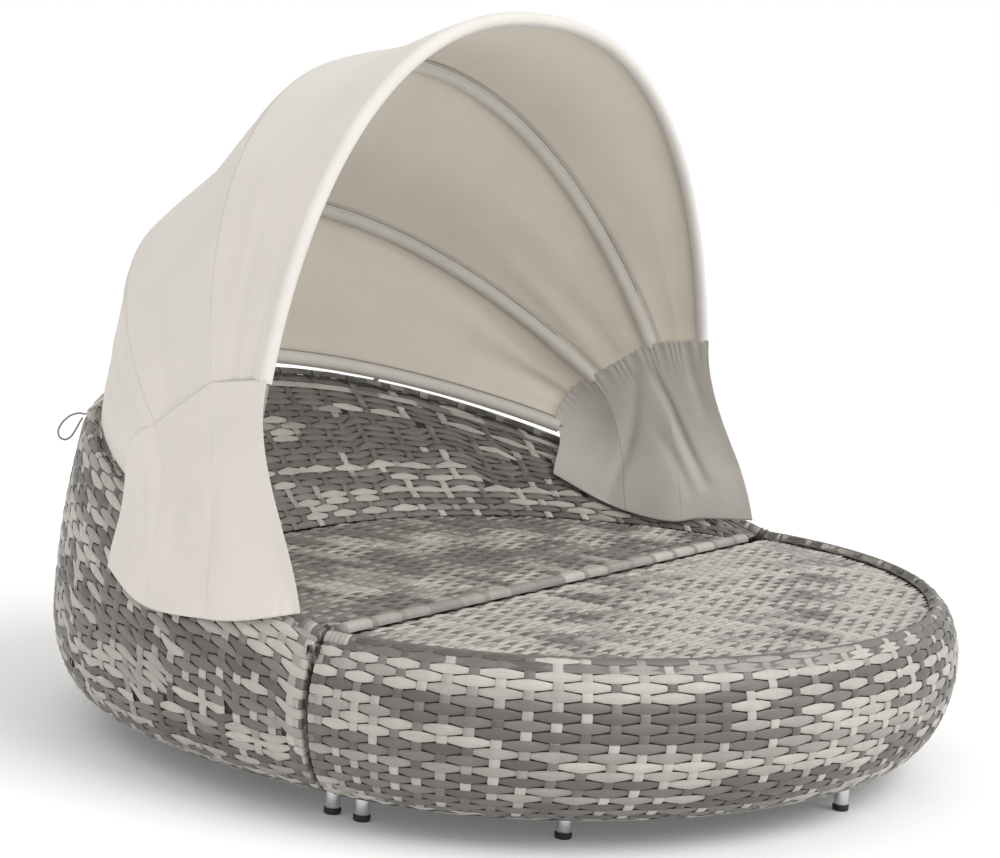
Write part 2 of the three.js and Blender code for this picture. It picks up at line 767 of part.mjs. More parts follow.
// Nearest places of the rear bow and the wrapped edge at one tie, and the strap's own axes:
// x from the bow to the edge, z along the bow
function tie_place(turn) {
  const rim = rim_centre(rear, turn);
  const rear_bow = bows[bows.length - 1];
  let best = 0;
  for (let angle = 0; angle <= half_turn; angle += 0.1)
    if (bow_point(rear_bow, angle).distanceTo(rim) < bow_point(rear_bow, best).distanceTo(rim)) best = angle;
  const bow = bow_point(rear_bow, best);
  const x_axis = new THREE.Vector3().subVectors(rim, bow);
  const reach = x_axis.length();
  x_axis.normalize();
  const z_axis = bow_point(rear_bow, best + 1).sub(bow_point(rear_bow, best - 1));
  z_axis.addScaledVector(x_axis, -z_axis.dot(x_axis)).normalize();
  const y_axis = new THREE.Vector3().crossVectors(z_axis, x_axis);
  const hem = bow_point(rear_bow, best, cloth_offset).sub(bow).dot(x_axis);
  return { reach, hem, matrix: new THREE.Matrix4().makeBasis(x_axis, y_axis, z_axis).setPosition(bow) };
}

// Tie: a strap from the hem at the rear bow over the outer side of the wrapped edge
function tie({ turn, wrap }) {
  const { reach, hem, matrix } = tie_place(turn);
  const belt = (extra) => {
    const first = bow_tube_radius + extra;
    const second = roll_radius + extra;
    const lean = Math.acos((first - second) / reach);
    const shape = new THREE.Shape();
    shape.absarc(0, 0, first, lean, 2 * Math.PI - lean, false);
    shape.absarc(reach, 0, second, -lean, lean, false);
    return shape;
  };
  const extruded = (shape, depth) => new THREE.ExtrudeGeometry(shape, {
    depth,
    curveSegments: 8,
    bevelEnabled: false,
  }).translate(0, 0, -depth / 2);
  const outer = solid(extruded(belt(tie_clearance + tie_thickness), tie_width));
  const inner = solid(extruded(belt(tie_clearance), 2 * tie_width));
  const start = hem + cloth_thickness / 2 + tie_hem_gap;
  const length = reach + wrap - start;
  const kept = new THREE.BoxGeometry(length, 4 * roll_radius, 2 * tie_width)
    .translate(start + length / 2, -2 * roll_radius, 0);
  return shown(outer.subtract(inner).intersect(solid(kept))).applyMatrix4(matrix);
}

// Loose cord that hangs as a loop from the end of a strap
function tie_loop({ turn, wrap }) {
  const { reach, matrix } = tie_place(turn);
  const along = wrap + tie_cord_diameter / 2 + touch_gap;
  const over = roll_radius + tie_cord_lift + tie_cord_diameter / 2;
  const start = new THREE.Vector3(reach + along, -Math.sqrt(over ** 2 - along ** 2), 0).applyMatrix4(matrix);
  const points = tie_cord_offsets.map((offset) => new THREE.Vector3(...offset).add(start));
  const path = new THREE.CatmullRomCurve3(points);
  const steps = Math.round(path.getLength() / (2 * tie_cord_diameter));
  return swept(path, tie_cord_diameter / 2, steps, tube_sides);
}

// Front module
add("front_frame", frame(front), "aluminium");
add("front_outer_weave", outer_wall(front), "wicker");
add("front_rim_roll", rim_roll(front), "wicker");
const front_seat_reach = -2 * roll_radius - touch_gap;
add("front_seat_weave", plate(
  turns().map((turn) => plan_point(front, turn, front_seat_reach, 0)),
  seat_thickness,
  seat_height - seat_thickness,
), "wicker");
add("front_split_weave", split_panel(front), "wicker");

// Rear module
add("rear_frame", frame(rear), "aluminium");
add("rear_outer_weave", outer_wall(rear), "wicker");
add("rear_back_weave", backrest(), "wicker");
add("rear_rim_roll", rim_roll(rear), "wicker");
add("rear_seat_weave", plate(
  turns().map((turn) => seat_corner(turn, -touch_gap, 0)),
  seat_thickness,
  seat_height - seat_thickness,
), "wicker");
add("rear_split_weave", split_panel(rear), "wicker");

for (const [prefix, module] of [["front", front], ["rear", rear]])
  for (const [place, [x, y]] of Object.entries(leg_places(module))) {
    add(`${prefix}_leg_${place}`, leg(), "aluminium").position.set(x, module.side * y, 0);
    add(`${prefix}_cap_${place}`, leg_cap(), "black").position.set(x, module.side * y, 0);
  }

// Canopy
for (const bow of bows) add(bow.name, bow_tube(bow), "powder_grey");
for (const [label, side] of [["left", -1], ["right", 1]]) {
  add(`pivot_bracket_${label}`, bracket(side), "powder_grey");
  add(`pivot_bolt_${label}`, pivot_bolt(side), "steel");
  add(`pivot_nut_${label}`, pivot_nut(side), "steel");
  for (let index = 0; index < bows.length - 1; index++)
    add(`pivot_washer_${label}_${index + 1}`, washer(side, index), "black");
}
const panel_sags = [
  ["canopy_front_panel", front_panel_sag],
  ["canopy_middle_panel", middle_panel_sag],
  ["canopy_rear_panel", rear_panel_sag],
];
panel_sags.forEach(([name, sag], index) =>
  add(name, canopy_panel(bows[index], bows[index + 1], sag), "cloth"));
add("side_flap_left", flap(-1, outer_hem(), false), "cloth");
add("side_flap_right", flap(1, inner_hem(), true), "cloth");
for (const [label, place] of Object.entries(ties))
  add(`tie_strap_${label}`, tie(place), "cloth");
add("tie_loop", tie_loop(ties.left), "cloth");

// Origin on the floor, under the middle of the outline
const front_end = front_rim_length + belly_bulge;
const rear_end = rear_rim_length + belly_bulge;
model.position.y = (front_end - rear_end) / 2;

const group = new THREE.Group();
group.add(model);
export default group;
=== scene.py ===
# %% [markdown]
# A round garden daybed in woven resin, with a folding canopy, dressed in Blender.
# The real daybed is two low baskets on aluminium frames that meet in the middle, and a
# cloth canopy on four bent tubes that turn on one pivot each side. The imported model
# already holds every piece at its true size. It comes in first, and what follows is built
# round it in the same metres, so nothing is fitted by eye.

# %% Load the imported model
import math

import bpy
import numpy as np
from mathutils import Matrix, Vector


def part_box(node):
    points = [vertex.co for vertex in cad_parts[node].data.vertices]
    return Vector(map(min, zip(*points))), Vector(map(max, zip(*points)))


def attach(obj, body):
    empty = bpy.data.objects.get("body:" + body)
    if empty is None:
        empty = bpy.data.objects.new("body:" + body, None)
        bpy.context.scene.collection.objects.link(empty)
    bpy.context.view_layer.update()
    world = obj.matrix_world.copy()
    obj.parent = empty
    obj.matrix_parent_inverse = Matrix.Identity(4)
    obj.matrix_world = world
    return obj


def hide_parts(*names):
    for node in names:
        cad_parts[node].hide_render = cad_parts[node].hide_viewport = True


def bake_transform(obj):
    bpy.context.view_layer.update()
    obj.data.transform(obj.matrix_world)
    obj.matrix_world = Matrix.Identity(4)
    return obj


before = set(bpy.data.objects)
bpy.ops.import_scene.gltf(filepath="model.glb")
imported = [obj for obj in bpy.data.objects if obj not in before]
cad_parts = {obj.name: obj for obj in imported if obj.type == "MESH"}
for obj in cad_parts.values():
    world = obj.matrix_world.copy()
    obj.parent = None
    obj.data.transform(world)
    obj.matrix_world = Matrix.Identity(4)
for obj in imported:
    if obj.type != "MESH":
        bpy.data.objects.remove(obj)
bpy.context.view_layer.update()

# %% [markdown]
# The photograph was taken from the front left, about 1.35 m above the floor, with a long
# lens. A camera could be aimed with a Track To constraint, but the view was worked out from
# the photograph as three directions, so they go straight into the camera's matrix: the
# picture's right, its up, and the way back towards the lens.

# %% Place the camera
camera_data = bpy.data.cameras.new("camera")
camera_data.sensor_width = 36
camera_data.lens = 99.857
camera_data.clip_end = 60
camera_place = (-4.77587, -2.83194, 1.34891)
camera = bpy.data.objects.new("camera", camera_data)
bpy.context.scene.collection.objects.link(camera)
to_right = Vector((0.52535, -0.84725, 0.07861))
to_top = Vector((0.06887, 0.13442, 0.98853))
to_lens = Vector((-0.84809, -0.51391, 0.12897))
turned = Matrix((to_right, to_top, to_lens)).transposed()
camera.matrix_world = Matrix.Translation(camera_place) @ turned.to_4x4()
bpy.context.scene.camera = camera
print("camera stands", round(camera.location.length, 2), "m from the middle of the daybed")

# %% [markdown]
# Colours and plain surfaces come next, because every piece needs one as it is made.
# Several finishes share two effects: small specks of dust and wear that change the colour
# a little, and a fine grain that tips the light. Each is built once as a node group with
# named sockets, so that every material can use it with its own numbers.

# %% Helpers for node groups
def new_group(name, sockets_in, sockets_out):
    """A node group with its sockets, and the two nodes that stand for them inside it."""
    group = bpy.data.node_groups.new(name, "ShaderNodeTree")
    for label, kind, value in sockets_in:
        socket = group.interface.new_socket(label, in_out="INPUT", socket_type=kind)
        socket.default_value = value
    for label, kind in sockets_out:
        group.interface.new_socket(label, in_out="OUTPUT", socket_type=kind)
    return group, group.nodes.new("NodeGroupInput"), group.nodes.new("NodeGroupOutput")


def node(tree, kind, **values):
    """A new node. A value sets a property of that name, or else an input, with _ for a space."""
    made = tree.nodes.new(kind)
    for key, value in values.items():
        if hasattr(made, key):
            setattr(made, key, value)
        else:
            made.inputs[key.replace("_", " ")].default_value = value
    return made


print("node helpers: new_group and node")

# %% [markdown]
# The first effect, mottle, shifts a colour a little lighter or darker in soft clouds, as
# dust, sun and handling do on every real surface. The second, grain, is a fine bump that
# breaks up a highlight. Both read the piece's own coordinates, so they stay on it when it
# moves, and neither needs a texture image.

# %% Two shared effects
def make_mottle():
    """Soft clouds that lighten and darken a colour."""
    group, start, end = new_group(
        "mottle",
        [("Color", "NodeSocketColor", (0.5, 0.5, 0.5, 1)), ("Scale", "NodeSocketFloat", 12),
         ("Amount", "NodeSocketFloat", 0.1)],
        [("Color", "NodeSocketColor")])
    place = group.nodes.new("ShaderNodeTexCoord")
    cloud = node(group, "ShaderNodeTexNoise", Detail=5, Roughness=0.6)
    spread = node(group, "ShaderNodeMapRange", clamp=True, From_Min=0.3, From_Max=0.7, To_Min=-1)
    shift = node(group, "ShaderNodeMath", operation="MULTIPLY_ADD")
    shift.inputs[2].default_value = 1
    tint = node(group, "ShaderNodeHueSaturation")
    link = group.links.new
    link(place.outputs["Object"], cloud.inputs["Vector"])
    link(start.outputs["Scale"], cloud.inputs["Scale"])
    link(cloud.outputs["Fac"], spread.inputs["Value"])
    link(spread.outputs["Result"], shift.inputs[0])
    link(start.outputs["Amount"], shift.inputs[1])
    link(shift.outputs[0], tint.inputs["Value"])
    link(start.outputs["Color"], tint.inputs["Color"])
    link(tint.outputs["Color"], end.inputs["Color"])
    return group


def make_grain():
    """A fine bump, with its own pattern as a mask."""
    group, start, end = new_group(
        "grain",
        [("Scale", "NodeSocketFloat", 900), ("Strength", "NodeSocketFloat", 0.2),
         ("Depth", "NodeSocketFloat", 0.0002)],
        [("Normal", "NodeSocketVector"), ("Mask", "NodeSocketFloat")])
    place = group.nodes.new("ShaderNodeTexCoord")
    specks = node(group, "ShaderNodeTexNoise", Detail=3, Roughness=0.55)
    bump = node(group, "ShaderNodeBump")
    link = group.links.new
    link(place.outputs["Object"], specks.inputs["Vector"])
    link(start.outputs["Scale"], specks.inputs["Scale"])
    link(specks.outputs["Fac"], bump.inputs["Height"])
    link(start.outputs["Strength"], bump.inputs["Strength"])
    link(start.outputs["Depth"], bump.inputs["Distance"])
    link(bump.outputs["Normal"], end.inputs["Normal"])
    link(specks.outputs["Fac"], end.inputs["Mask"])
    return group


mottle = make_mottle()
grain = make_grain()
print("shared effects:", mottle.name, "and", grain.name)

# %% [markdown]
# The wicker is a resin strap extruded in several greys, so one strap drifts from warm light
# grey to dark slate along its length. A picture could hold that, but each strap is built
# as mesh here, so its tone is stored on its own points and a colour ramp turns it into
# grey. Fine lines run along the strap, as the extruder's die leaves them.

# %% Wicker finish
def placed(tree, group, **values):
    """A shared group set into a material, with its numbers."""
    made = tree.nodes.new("ShaderNodeGroup")
    made.node_tree = group
    for key, value in values.items():
        made.inputs[key].default_value = value
    return made


def new_material(name, roughness, metallic=0.0, specular=0.5):
    """A material with its node tree and its shader."""
    material = bpy.data.materials.new(name)
    material.use_nodes = True
    shader = material.node_tree.nodes["Principled BSDF"]
    shader.inputs["Roughness"].default_value = roughness
    shader.inputs["Metallic"].default_value = metallic
    shader.inputs["Specular IOR Level"].default_value = specular
    return material, material.node_tree, shader


def wicker_finish():
    """The strap: its stored tone through a ramp of greys, and fine lines along it."""
    material, tree, shader = new_material("wicker_strap", 0.5)
    tone = node(tree, "ShaderNodeAttribute", attribute_name="tone")
    ramp = node(tree, "ShaderNodeValToRGB")
    stops = [(0.0, (0.098, 0.091, 0.083)), (0.3, (0.158, 0.149, 0.138)),
             (0.6, (0.3, 0.285, 0.262)), (1.0, (0.5, 0.475, 0.43))]
    while len(ramp.color_ramp.elements) < len(stops):
        ramp.color_ramp.elements.new(0.5)
    for element, (place, colour) in zip(ramp.color_ramp.elements, stops):
        element.position = place
        element.color = (*colour, 1)
    run = node(tree, "ShaderNodeUVMap", uv_map="along_strap")
    stretch = node(tree, "ShaderNodeMapping", Scale=(9, 900, 1))
    lines = node(tree, "ShaderNodeTexNoise", Scale=1, Detail=4, Roughness=0.6)
    spread = node(tree, "ShaderNodeMapRange", From_Min=0.3, From_Max=0.7, To_Min=0.9, To_Max=1.08)
    shade = node(tree, "ShaderNodeMix", data_type="RGBA", blend_type="MULTIPLY")
    shade.inputs[0].default_value = 1
    dirt = placed(tree, mottle, Scale=26, Amount=0.09)
    bump = node(tree, "ShaderNodeBump", Strength=0.25, Distance=0.0003)
    gloss = node(tree, "ShaderNodeMapRange", To_Min=0.42, To_Max=0.6)
    link = tree.links.new
    link(tone.outputs["Fac"], ramp.inputs["Fac"])
    link(run.outputs["UV"], stretch.inputs["Vector"])
    link(stretch.outputs["Vector"], lines.inputs["Vector"])
    link(lines.outputs["Fac"], spread.inputs["Value"])
    link(ramp.outputs["Color"], shade.inputs[6])
    link(spread.outputs["Result"], shade.inputs[7])
    link(shade.outputs[2], dirt.inputs["Color"])
    link(dirt.outputs["Color"], shader.inputs["Base Color"])
    link(lines.outputs["Fac"], bump.inputs["Height"])
    link(bump.outputs["Normal"], shader.inputs["Normal"])
    link(lines.outputs["Fac"], gloss.inputs["Value"])
    link(gloss.outputs["Result"], shader.inputs["Roughness"])
    return material


wicker = wicker_finish()
print("wicker ramp stops:", len(wicker.node_tree.nodes["Color Ramp"].color_ramp.elements))

# %% [markdown]
# The other finishes are simpler: bare aluminium legs, black rubbery feet, powder coat on
# the bows and brackets, zinc-plated bolts, nylon washers, and a nearly black lining behind
# the weave, painted shade for the dark inside of the baskets. Each takes its colour through
# the mottle group and its fine relief through the grain group.

# %% Metal, rubber and dark lining
def plain_finish(name, colour, roughness, metallic=0.0, specular=0.5, mottle_scale=14,
                 mottle_amount=0.06, grain_scale=900, grain_strength=0.15, grain_depth=0.0001):
    """One colour, mottled and grained, with a little change in gloss."""
    material, tree, shader = new_material(name, roughness, metallic, specular)
    colour_change = placed(tree, mottle, Scale=mottle_scale, Amount=mottle_amount)
    colour_change.inputs["Color"].default_value = (*colour, 1)
    relief = placed(tree, grain, Scale=grain_scale, Strength=grain_strength, Depth=grain_depth)
    gloss = node(tree, "ShaderNodeMapRange", To_Min=roughness - 0.08, To_Max=roughness + 0.08)
    tree.links.new(colour_change.outputs["Color"], shader.inputs["Base Color"])
    tree.links.new(relief.outputs["Normal"], shader.inputs["Normal"])
    tree.links.new(relief.outputs["Mask"], gloss.inputs["Value"])
    tree.links.new(gloss.outputs["Result"], shader.inputs["Roughness"])
    return material


aluminium = plain_finish("bare_aluminium", (0.66, 0.67, 0.68), 0.34, 0.85, mottle_scale=8)
foot_rubber = plain_finish("foot_rubber", (0.012, 0.012, 0.013), 0.55, grain_scale=500)
powder_coat = plain_finish("powder_coat", (0.3, 0.295, 0.28), 0.5, 0.1, grain_strength=0.3)
zinc = plain_finish("zinc_steel", (0.58, 0.585, 0.6), 0.3, 0.95, mottle_scale=60)
washer_nylon = plain_finish("washer_nylon", (0.02, 0.02, 0.022), 0.45)
# nearly black: painted shade for what shows through the slits of the weave
shadow_lining = plain_finish("shadow_lining", (0.05, 0.046, 0.042), 0.9, specular=0.1)
print("plain finishes:", [m.name for m in (aluminium, foot_rubber, powder_coat, zinc)])

# %% [markdown]
# The canopy is a thin, close polyester weave, off white outside. Its inner face is coated
# and has a warmer colour, so the cloth gets two finishes, one for each side. The sewn
# sleeves and the ties are cooler and get their own. The front hem is a little lighter than
# the cloth, a painted highlight where it rounds the tube, and the right flap's inner face is
# darker, painted shade where it hangs inside the arm. The threads are two crossed waves in
# the bump, drawn from the piece's own coordinates, so no picture is needed.

# %% Canopy cloth
thread_scale = 420


def cloth_finish(name, colour, mottle_amount=0.03):
    """Matt cloth with a trace of sheen and crossed threads."""
    material, tree, shader = new_material(name, 0.85, specular=0.25)
    shader.inputs["Sheen Weight"].default_value = 0.15
    shader.inputs["Sheen Roughness"].default_value = 0.5
    clouds = placed(tree, mottle, Scale=7, Amount=mottle_amount)
    clouds.inputs["Color"].default_value = (*colour, 1)
    place = node(tree, "ShaderNodeTexCoord")
    warp, weft = (node(tree, "ShaderNodeTexWave", bands_direction=way, Scale=thread_scale,
                       Distortion=0.6) for way in ("X", "Z"))
    threads = node(tree, "ShaderNodeMath", operation="MAXIMUM")
    bump = node(tree, "ShaderNodeBump", Strength=0.3, Distance=0.0003)
    link = tree.links.new
    link(clouds.outputs["Color"], shader.inputs["Base Color"])
    for wave in (warp, weft):
        link(place.outputs["Object"], wave.inputs["Vector"])
    link(warp.outputs["Fac"], threads.inputs[0])
    link(weft.outputs["Fac"], threads.inputs[1])
    link(threads.outputs[0], bump.inputs["Height"])
    link(bump.outputs["Normal"], shader.inputs["Normal"])
    return material


canopy_cloth = cloth_finish("canopy_cloth", (0.705, 0.664, 0.615))
cloth_inside = cloth_finish("cloth_inside", (0.85, 0.792, 0.702))
# a little lighter than the canopy cloth: painted highlight where the cloth rounds the front tube
hem_tape = cloth_finish("hem_tape", (0.715, 0.695, 0.655))
sleeve_tape = cloth_finish("sleeve_tape", (0.68, 0.655, 0.61), 0.06)
# darker than the inner cloth: painted shade on the right flap's inner face inside the arm
flap_inside_painted_shade = cloth_finish("flap_inside_painted_shade", (0.545, 0.521, 0.486), 0.06)
tie_tape = cloth_finish("tie_tape", (0.33, 0.318, 0.3), 0.06)
# nearly black: painted shade for the inner frames inside the baskets
inner_frame_painted_shade = plain_finish("inner_frame_painted_shade", (0.1, 0.1, 0.1), 0.5, 0.2)
seam_thread = plain_finish("seam_thread", (0.16, 0.145, 0.13), 0.8, specular=0.2)
print("cloth finishes:", [m.name for m in (canopy_cloth, cloth_inside, hem_tape, sleeve_tape,
                                           flap_inside_painted_shade, tie_tape)])

# %% [markdown]
# The same few sums come back in every shape below: a direction of length one, the distance
# run along a line, and the values between the points of a grid. They are written once.

# %% Helpers for lines and grids
def unit(vectors):
    """The same directions, each with a length of one."""
    return vectors / (np.linalg.norm(vectors, axis=-1, keepdims=True) + 1e-12)


def distance_run(line):
    """How far along a line each of its points lies."""
    steps = np.linalg.norm(np.diff(line, axis=0), axis=1)
    return np.concatenate([[0], np.cumsum(steps)])


def places_on(line, run, at):
    """Places on a line, found by their distance along it."""
    return np.stack([np.interp(at, run, line[:, k]) for k in range(3)], -1)


def between_points(grid, row, column):
    """Values between the points of a grid, for row and column numbers that aren't whole."""
    row = np.clip(row, 0, grid.shape[0] - 1.001)
    column = np.clip(column, 0, grid.shape[1] - 1.001)
    i, j = row.astype(int), column.astype(int)
    a, b = (row - i)[..., None], (column - j)[..., None]
    return ((1 - a) * (1 - b) * grid[i, j] + a * (1 - b) * grid[i + 1, j]
            + (1 - a) * b * grid[i, j + 1] + a * b * grid[i + 1, j + 1])


print("line helpers: a line of 3 m and 4 m steps runs",
      distance_run(np.array([[0, 0, 0], [3, 0, 0], [3, 4, 0]]))[-1], "m")

# %% [markdown]
# A loose tape end hangs from the left tie as a small loop. It is a cord in the sense of
# this model, with its own true length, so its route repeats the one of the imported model.
# A curve with a round bevel is the natural way to draw it.

# %% The loose loop of the left tie
loop_route = [
    (-0.50761, 0.72193, 0.59819), (-0.51461, 0.73493, 0.59919), (-0.52461, 0.74893, 0.59219),
    (-0.53261, 0.75993, 0.57819), (-0.53661, 0.76593, 0.56219), (-0.53261, 0.76493, 0.54819),
    (-0.52361, 0.75793, 0.54319), (-0.51561, 0.74993, 0.55019), (-0.51161, 0.74193, 0.56519),
    (-0.50961, 0.73493, 0.58019), (-0.50861, 0.72893, 0.59019)]


def smooth_route(points, steps):
    """Points of a smooth curve through the given ones."""
    p = np.array(points, float)
    p = np.vstack([2 * p[0] - p[1], p, 2 * p[-1] - p[-2]])
    made = []
    for i in range(1, len(p) - 2):
        for t in np.linspace(0, 1, steps, endpoint=False):
            a, b, c, d = p[i - 1:i + 3]
            made.append(0.5 * (2 * b + (c - a) * t + (2 * a - 5 * b + 4 * c - d) * t ** 2
                               + (3 * b - a - 3 * c + d) * t ** 3))
    made.append(p[-2])
    return np.array(made)


def tube_curve(name, points, radius, material, sides=8):
    """A round cord along the points."""
    data = bpy.data.curves.new(name, "CURVE")
    data.dimensions = "3D"
    data.bevel_depth = radius
    data.bevel_resolution = sides // 2
    data.use_fill_caps = True
    spline = data.splines.new("POLY")
    spline.points.add(len(points) - 1)
    for point, place in zip(spline.points, points):
        point.co = (*place, 1)
    data.materials.append(material)
    piece = bpy.data.objects.new(name, data)
    bpy.context.scene.collection.objects.link(piece)
    return piece


loop_points = smooth_route(loop_route, 4)
loop_thickness = 0.004
tie_cord = tube_curve("tie_cord", loop_points, loop_thickness / 2, tie_tape)
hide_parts("tie_loop")
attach(tie_cord, "rear_module")

# %% [markdown]
# Each basket follows a rounded outline: nearly an ellipse at the front, squarer at the
# back, where the rim also climbs to the top of the backrest. The wall bulges at its belly
# and tucks in towards the floor. All woven faces are laid on surfaces given by those
# few numbers, so the outline is written once as a function of the turn round the daybed.

# %% The outline of the two baskets
half_width = 0.875
half_gap = 0.0055
split_row = -0.140
front_rim_height = 0.355
seat_height = 0.341
belly_height = 0.239
belly_bulge = 0.040
bottom_height = 0.055
bottom_tuck = 0.112
roll_radius = 0.0135
front_basket = {"name": "front", "side": -1, "length": 0.710, "power": 1.97, "rise": 0.0}
rear_basket = {"name": "rear", "side": 1, "length": 0.990, "power": 2.32, "rise": 0.297}


def outline(basket, turn):
    """Distance to the side, distance from the joint and outward direction at each turn."""
    angle = np.radians(turn)
    across, along = np.cos(angle), np.maximum(np.sin(angle), 0)
    power = 2 / basket["power"]
    x = half_width * np.sign(across) * np.abs(across) ** power
    y = half_gap + (basket["length"] - half_gap) * along ** power
    nx = np.sign(across) * np.abs(across) ** (2 - power) / half_width
    ny = along ** (2 - power) / basket["length"]
    size = np.hypot(nx, ny)
    return x, y, nx / size, ny / size


def plan_point(basket, turn, reach, z):
    """A point at a turn and a height, moved outward from the outline by reach."""
    x, y, nx, ny = outline(basket, turn)
    x, y, z = np.broadcast_arrays(x + reach * nx, split_row + basket["side"] * (y + reach * ny), z)
    return np.stack([x, y, z], -1)


def rim_height(basket, turn):
    """The rim climbs evenly from the joint to the back."""
    return front_rim_height + basket["rise"] * outline(basket, turn)[1] / basket["length"]


print("rim at the back:", round(float(rim_height(rear_basket, 90.0)), 3), "m")

# %% [markdown]
# One woven face is described by a table of points: one row of the table for each place
# round the basket, and equal steps of height within the row. Looking a place up between
# the table's points is quick, gives the outward direction too, and lets the same weaving
# code serve the walls, the backrest, the seats and the flat end panels.

# %% A face that can be looked up
class Face:
    """A surface given by a table of points, with a place along it and a share of its height."""

    def __init__(self, table, outward):
        self.table = np.asarray(table, float)
        self.along = distance_run(self.table[:, self.table.shape[1] // 2])
        down = np.gradient(self.table, axis=1)
        side = np.gradient(self.table, axis=0)
        normal = unit(np.cross(side, down))
        facing = (normal * outward(self.table)).sum(axis=2, keepdims=True)
        self.normal = normal * np.where(facing < 0, -1, 1)
        self.heights = np.linalg.norm(np.diff(self.table, axis=1), axis=2).sum(axis=1)
        self.room = np.ones(self.table.shape[1])

    def look_up(self, values, along, share):
        """Values between the table's points."""
        row = np.interp(along, self.along, np.arange(len(self.along)))
        return between_points(values, row, share * (values.shape[1] - 1))

    def point(self, along, share, depth=0.0):
        """A point set in from the surface by depth, and the outward direction there."""
        normal = unit(self.look_up(self.normal, along, share))
        room = np.interp(share, np.linspace(0, 1, len(self.room)), self.room)
        depth = (room * depth)[..., None]
        return self.look_up(self.table, along, share) - normal * depth, normal

    def height(self, along):
        """The true length of the face from its bottom edge to its top edge."""
        return np.interp(along, self.along, self.heights)


def evenly(profile, count):
    """The same line again, with its points at equal steps."""
    run = distance_run(profile)
    return places_on(profile, run, np.linspace(0, run[-1], count))


print("a face is looked up by metres along it and by a share of its height")

# %% [markdown]
# Now the weaving itself. Upright straps stand a few centimetres apart, and flat straps run
# round the basket, over one and under the next. A flat strap is widest where it lies over
# an upright and is squeezed to half where it dives under, which gives the long six-sided
# patches with dark slits between them. An array modifier can't do that on a flaring
# basket, so rows are counted at every upright and short rows are slipped in by pairs
# where the wall grows taller, just as a weaver packs them.

# %% Plan the rows between the uprights
def place_uprights(face, pitch, start, stop):
    """Places along the face, a pitch apart, where the pitch may change on the way."""
    fine = np.linspace(start, stop, 800)
    density = 1 / np.array([pitch(a) for a in fine])
    total = np.concatenate([[0], np.cumsum((density[1:] + density[:-1]) / 2 * np.diff(fine))])
    count = max(3, int(round(total[-1])))
    return np.interp((np.arange(count) + 0.5) / count * total[-1], total, fine)


def plan_rows(counts, chance, low=0.25, high=0.7):
    """For each upright the straps that pass it, from the bottom up, as numbers."""
    rows = [list(range(counts[0]))]
    fresh = counts[0]
    for wanted in counts[1:]:
        row = list(rows[-1])
        while len(row) < wanted:
            at = int(len(row) * chance.uniform(low, high))
            row[at:at] = [fresh, fresh + 1]
            fresh += 2
        while len(row) > wanted:
            at = int((len(row) - 2) * chance.uniform(low, high))
            del row[at:at + 2]
        rows.append(row)
    return rows, fresh


def bundle(rows):
    """The uprights and the height shares that each strap passes, strap by strap."""
    found = {}
    for upright, row in enumerate(rows):
        for level, strap in enumerate(row):
            found.setdefault(strap, []).append((upright, level, len(row)))
    return found


print("rows come in pairs, so over and under keep their turn")

# %% [markdown]
# A strap is a thin strip with turned-down edges and a slightly raised middle: five points
# across are enough for the light to find its rounded form. All strips of one face are
# joined into a single mesh, filled in through foreach_set, which stays quick for a hundred
# thousand faces. Tone and the place along the strap go with the points for the wicker
# material to read. The two edge points of every strip get a darker tone, painted shade where
# the strap turns down into a slit.

# %% Turn strips into one mesh
strap_offs = [-1, -0.84, 0, 0.84, 1]
strap_sinks = [0.0015, 0.0, -0.0007, 0.0, 0.0015]
# painted shade: how much darker the tone is at a strip's two edge points
painted_edge_shade = [0.14, 0.0, 0.0, 0.0, 0.14]


class Strips:
    """Collects strips and turns them into one mesh."""

    def __init__(self):
        self.points, self.quads, self.tones, self.places = [], [], [], []
        self.count = 0

    def add(self, centre, normal, width, tone):
        """A flat strip along a line, its own normal given."""
        side = unit(np.cross(normal, np.gradient(centre, axis=0)))
        half = (np.broadcast_to(width, len(centre)) / 2)[:, None]
        ring = np.stack([centre + side * half * off - normal * sink
                         for off, sink in zip(strap_offs, strap_sinks)], 1)
        self.add_ring(ring, half, tone)

    def add_ring(self, ring, half, tone):
        """A strip whose points across are given for every step along it."""
        n, k = ring.shape[:2]
        start = self.count + k * np.arange(n - 1)[:, None] + np.arange(k - 1)[None]
        quads = np.stack([start, start + 1, start + k + 1, start + k], -1).reshape(-1, 4)
        run = distance_run(ring[:, k // 2])
        place = np.stack([np.repeat(run[:, None], k, 1) + self.count * 0.0137,
                          half * np.array(strap_offs)[None]], -1)
        # the edge points are darkened here, painted shade along the strap's edges
        shade = np.broadcast_to(tone, n)[:, None] - np.array(painted_edge_shade)[None]
        self.points.append(ring.reshape(-1, 3))
        self.quads.append(quads)
        self.tones.append(np.clip(shade, 0, 1).ravel())
        self.places.append(place.reshape(-1, 2))
        self.count += k * n

    def piece(self, name, material):
        """All strips so far as one mesh object."""
        return mesh_piece(name, np.concatenate(self.points), np.concatenate(self.quads), material,
                          tones=np.concatenate(self.tones), places=np.concatenate(self.places))


def grid_quads(columns, rows):
    """Faces over a grid of points."""
    index = np.arange(columns * rows).reshape(columns, rows)
    corners = [index[:-1, :-1], index[1:, :-1], index[1:, 1:], index[:-1, 1:]]
    return np.stack(corners, -1).reshape(-1, 4)


def ring_quads(rings, sides, closed=False):
    """Faces between rings of points; a closed set joins its last ring to its first."""
    i, j = np.meshgrid(np.arange(rings if closed else rings - 1), np.arange(sides), indexing="ij")
    next_i, next_j = (i + 1) % rings, (j + 1) % sides
    corners = [i * sides + j, i * sides + next_j, next_i * sides + next_j, next_i * sides + j]
    return np.stack(corners, -1).reshape(-1, 4)


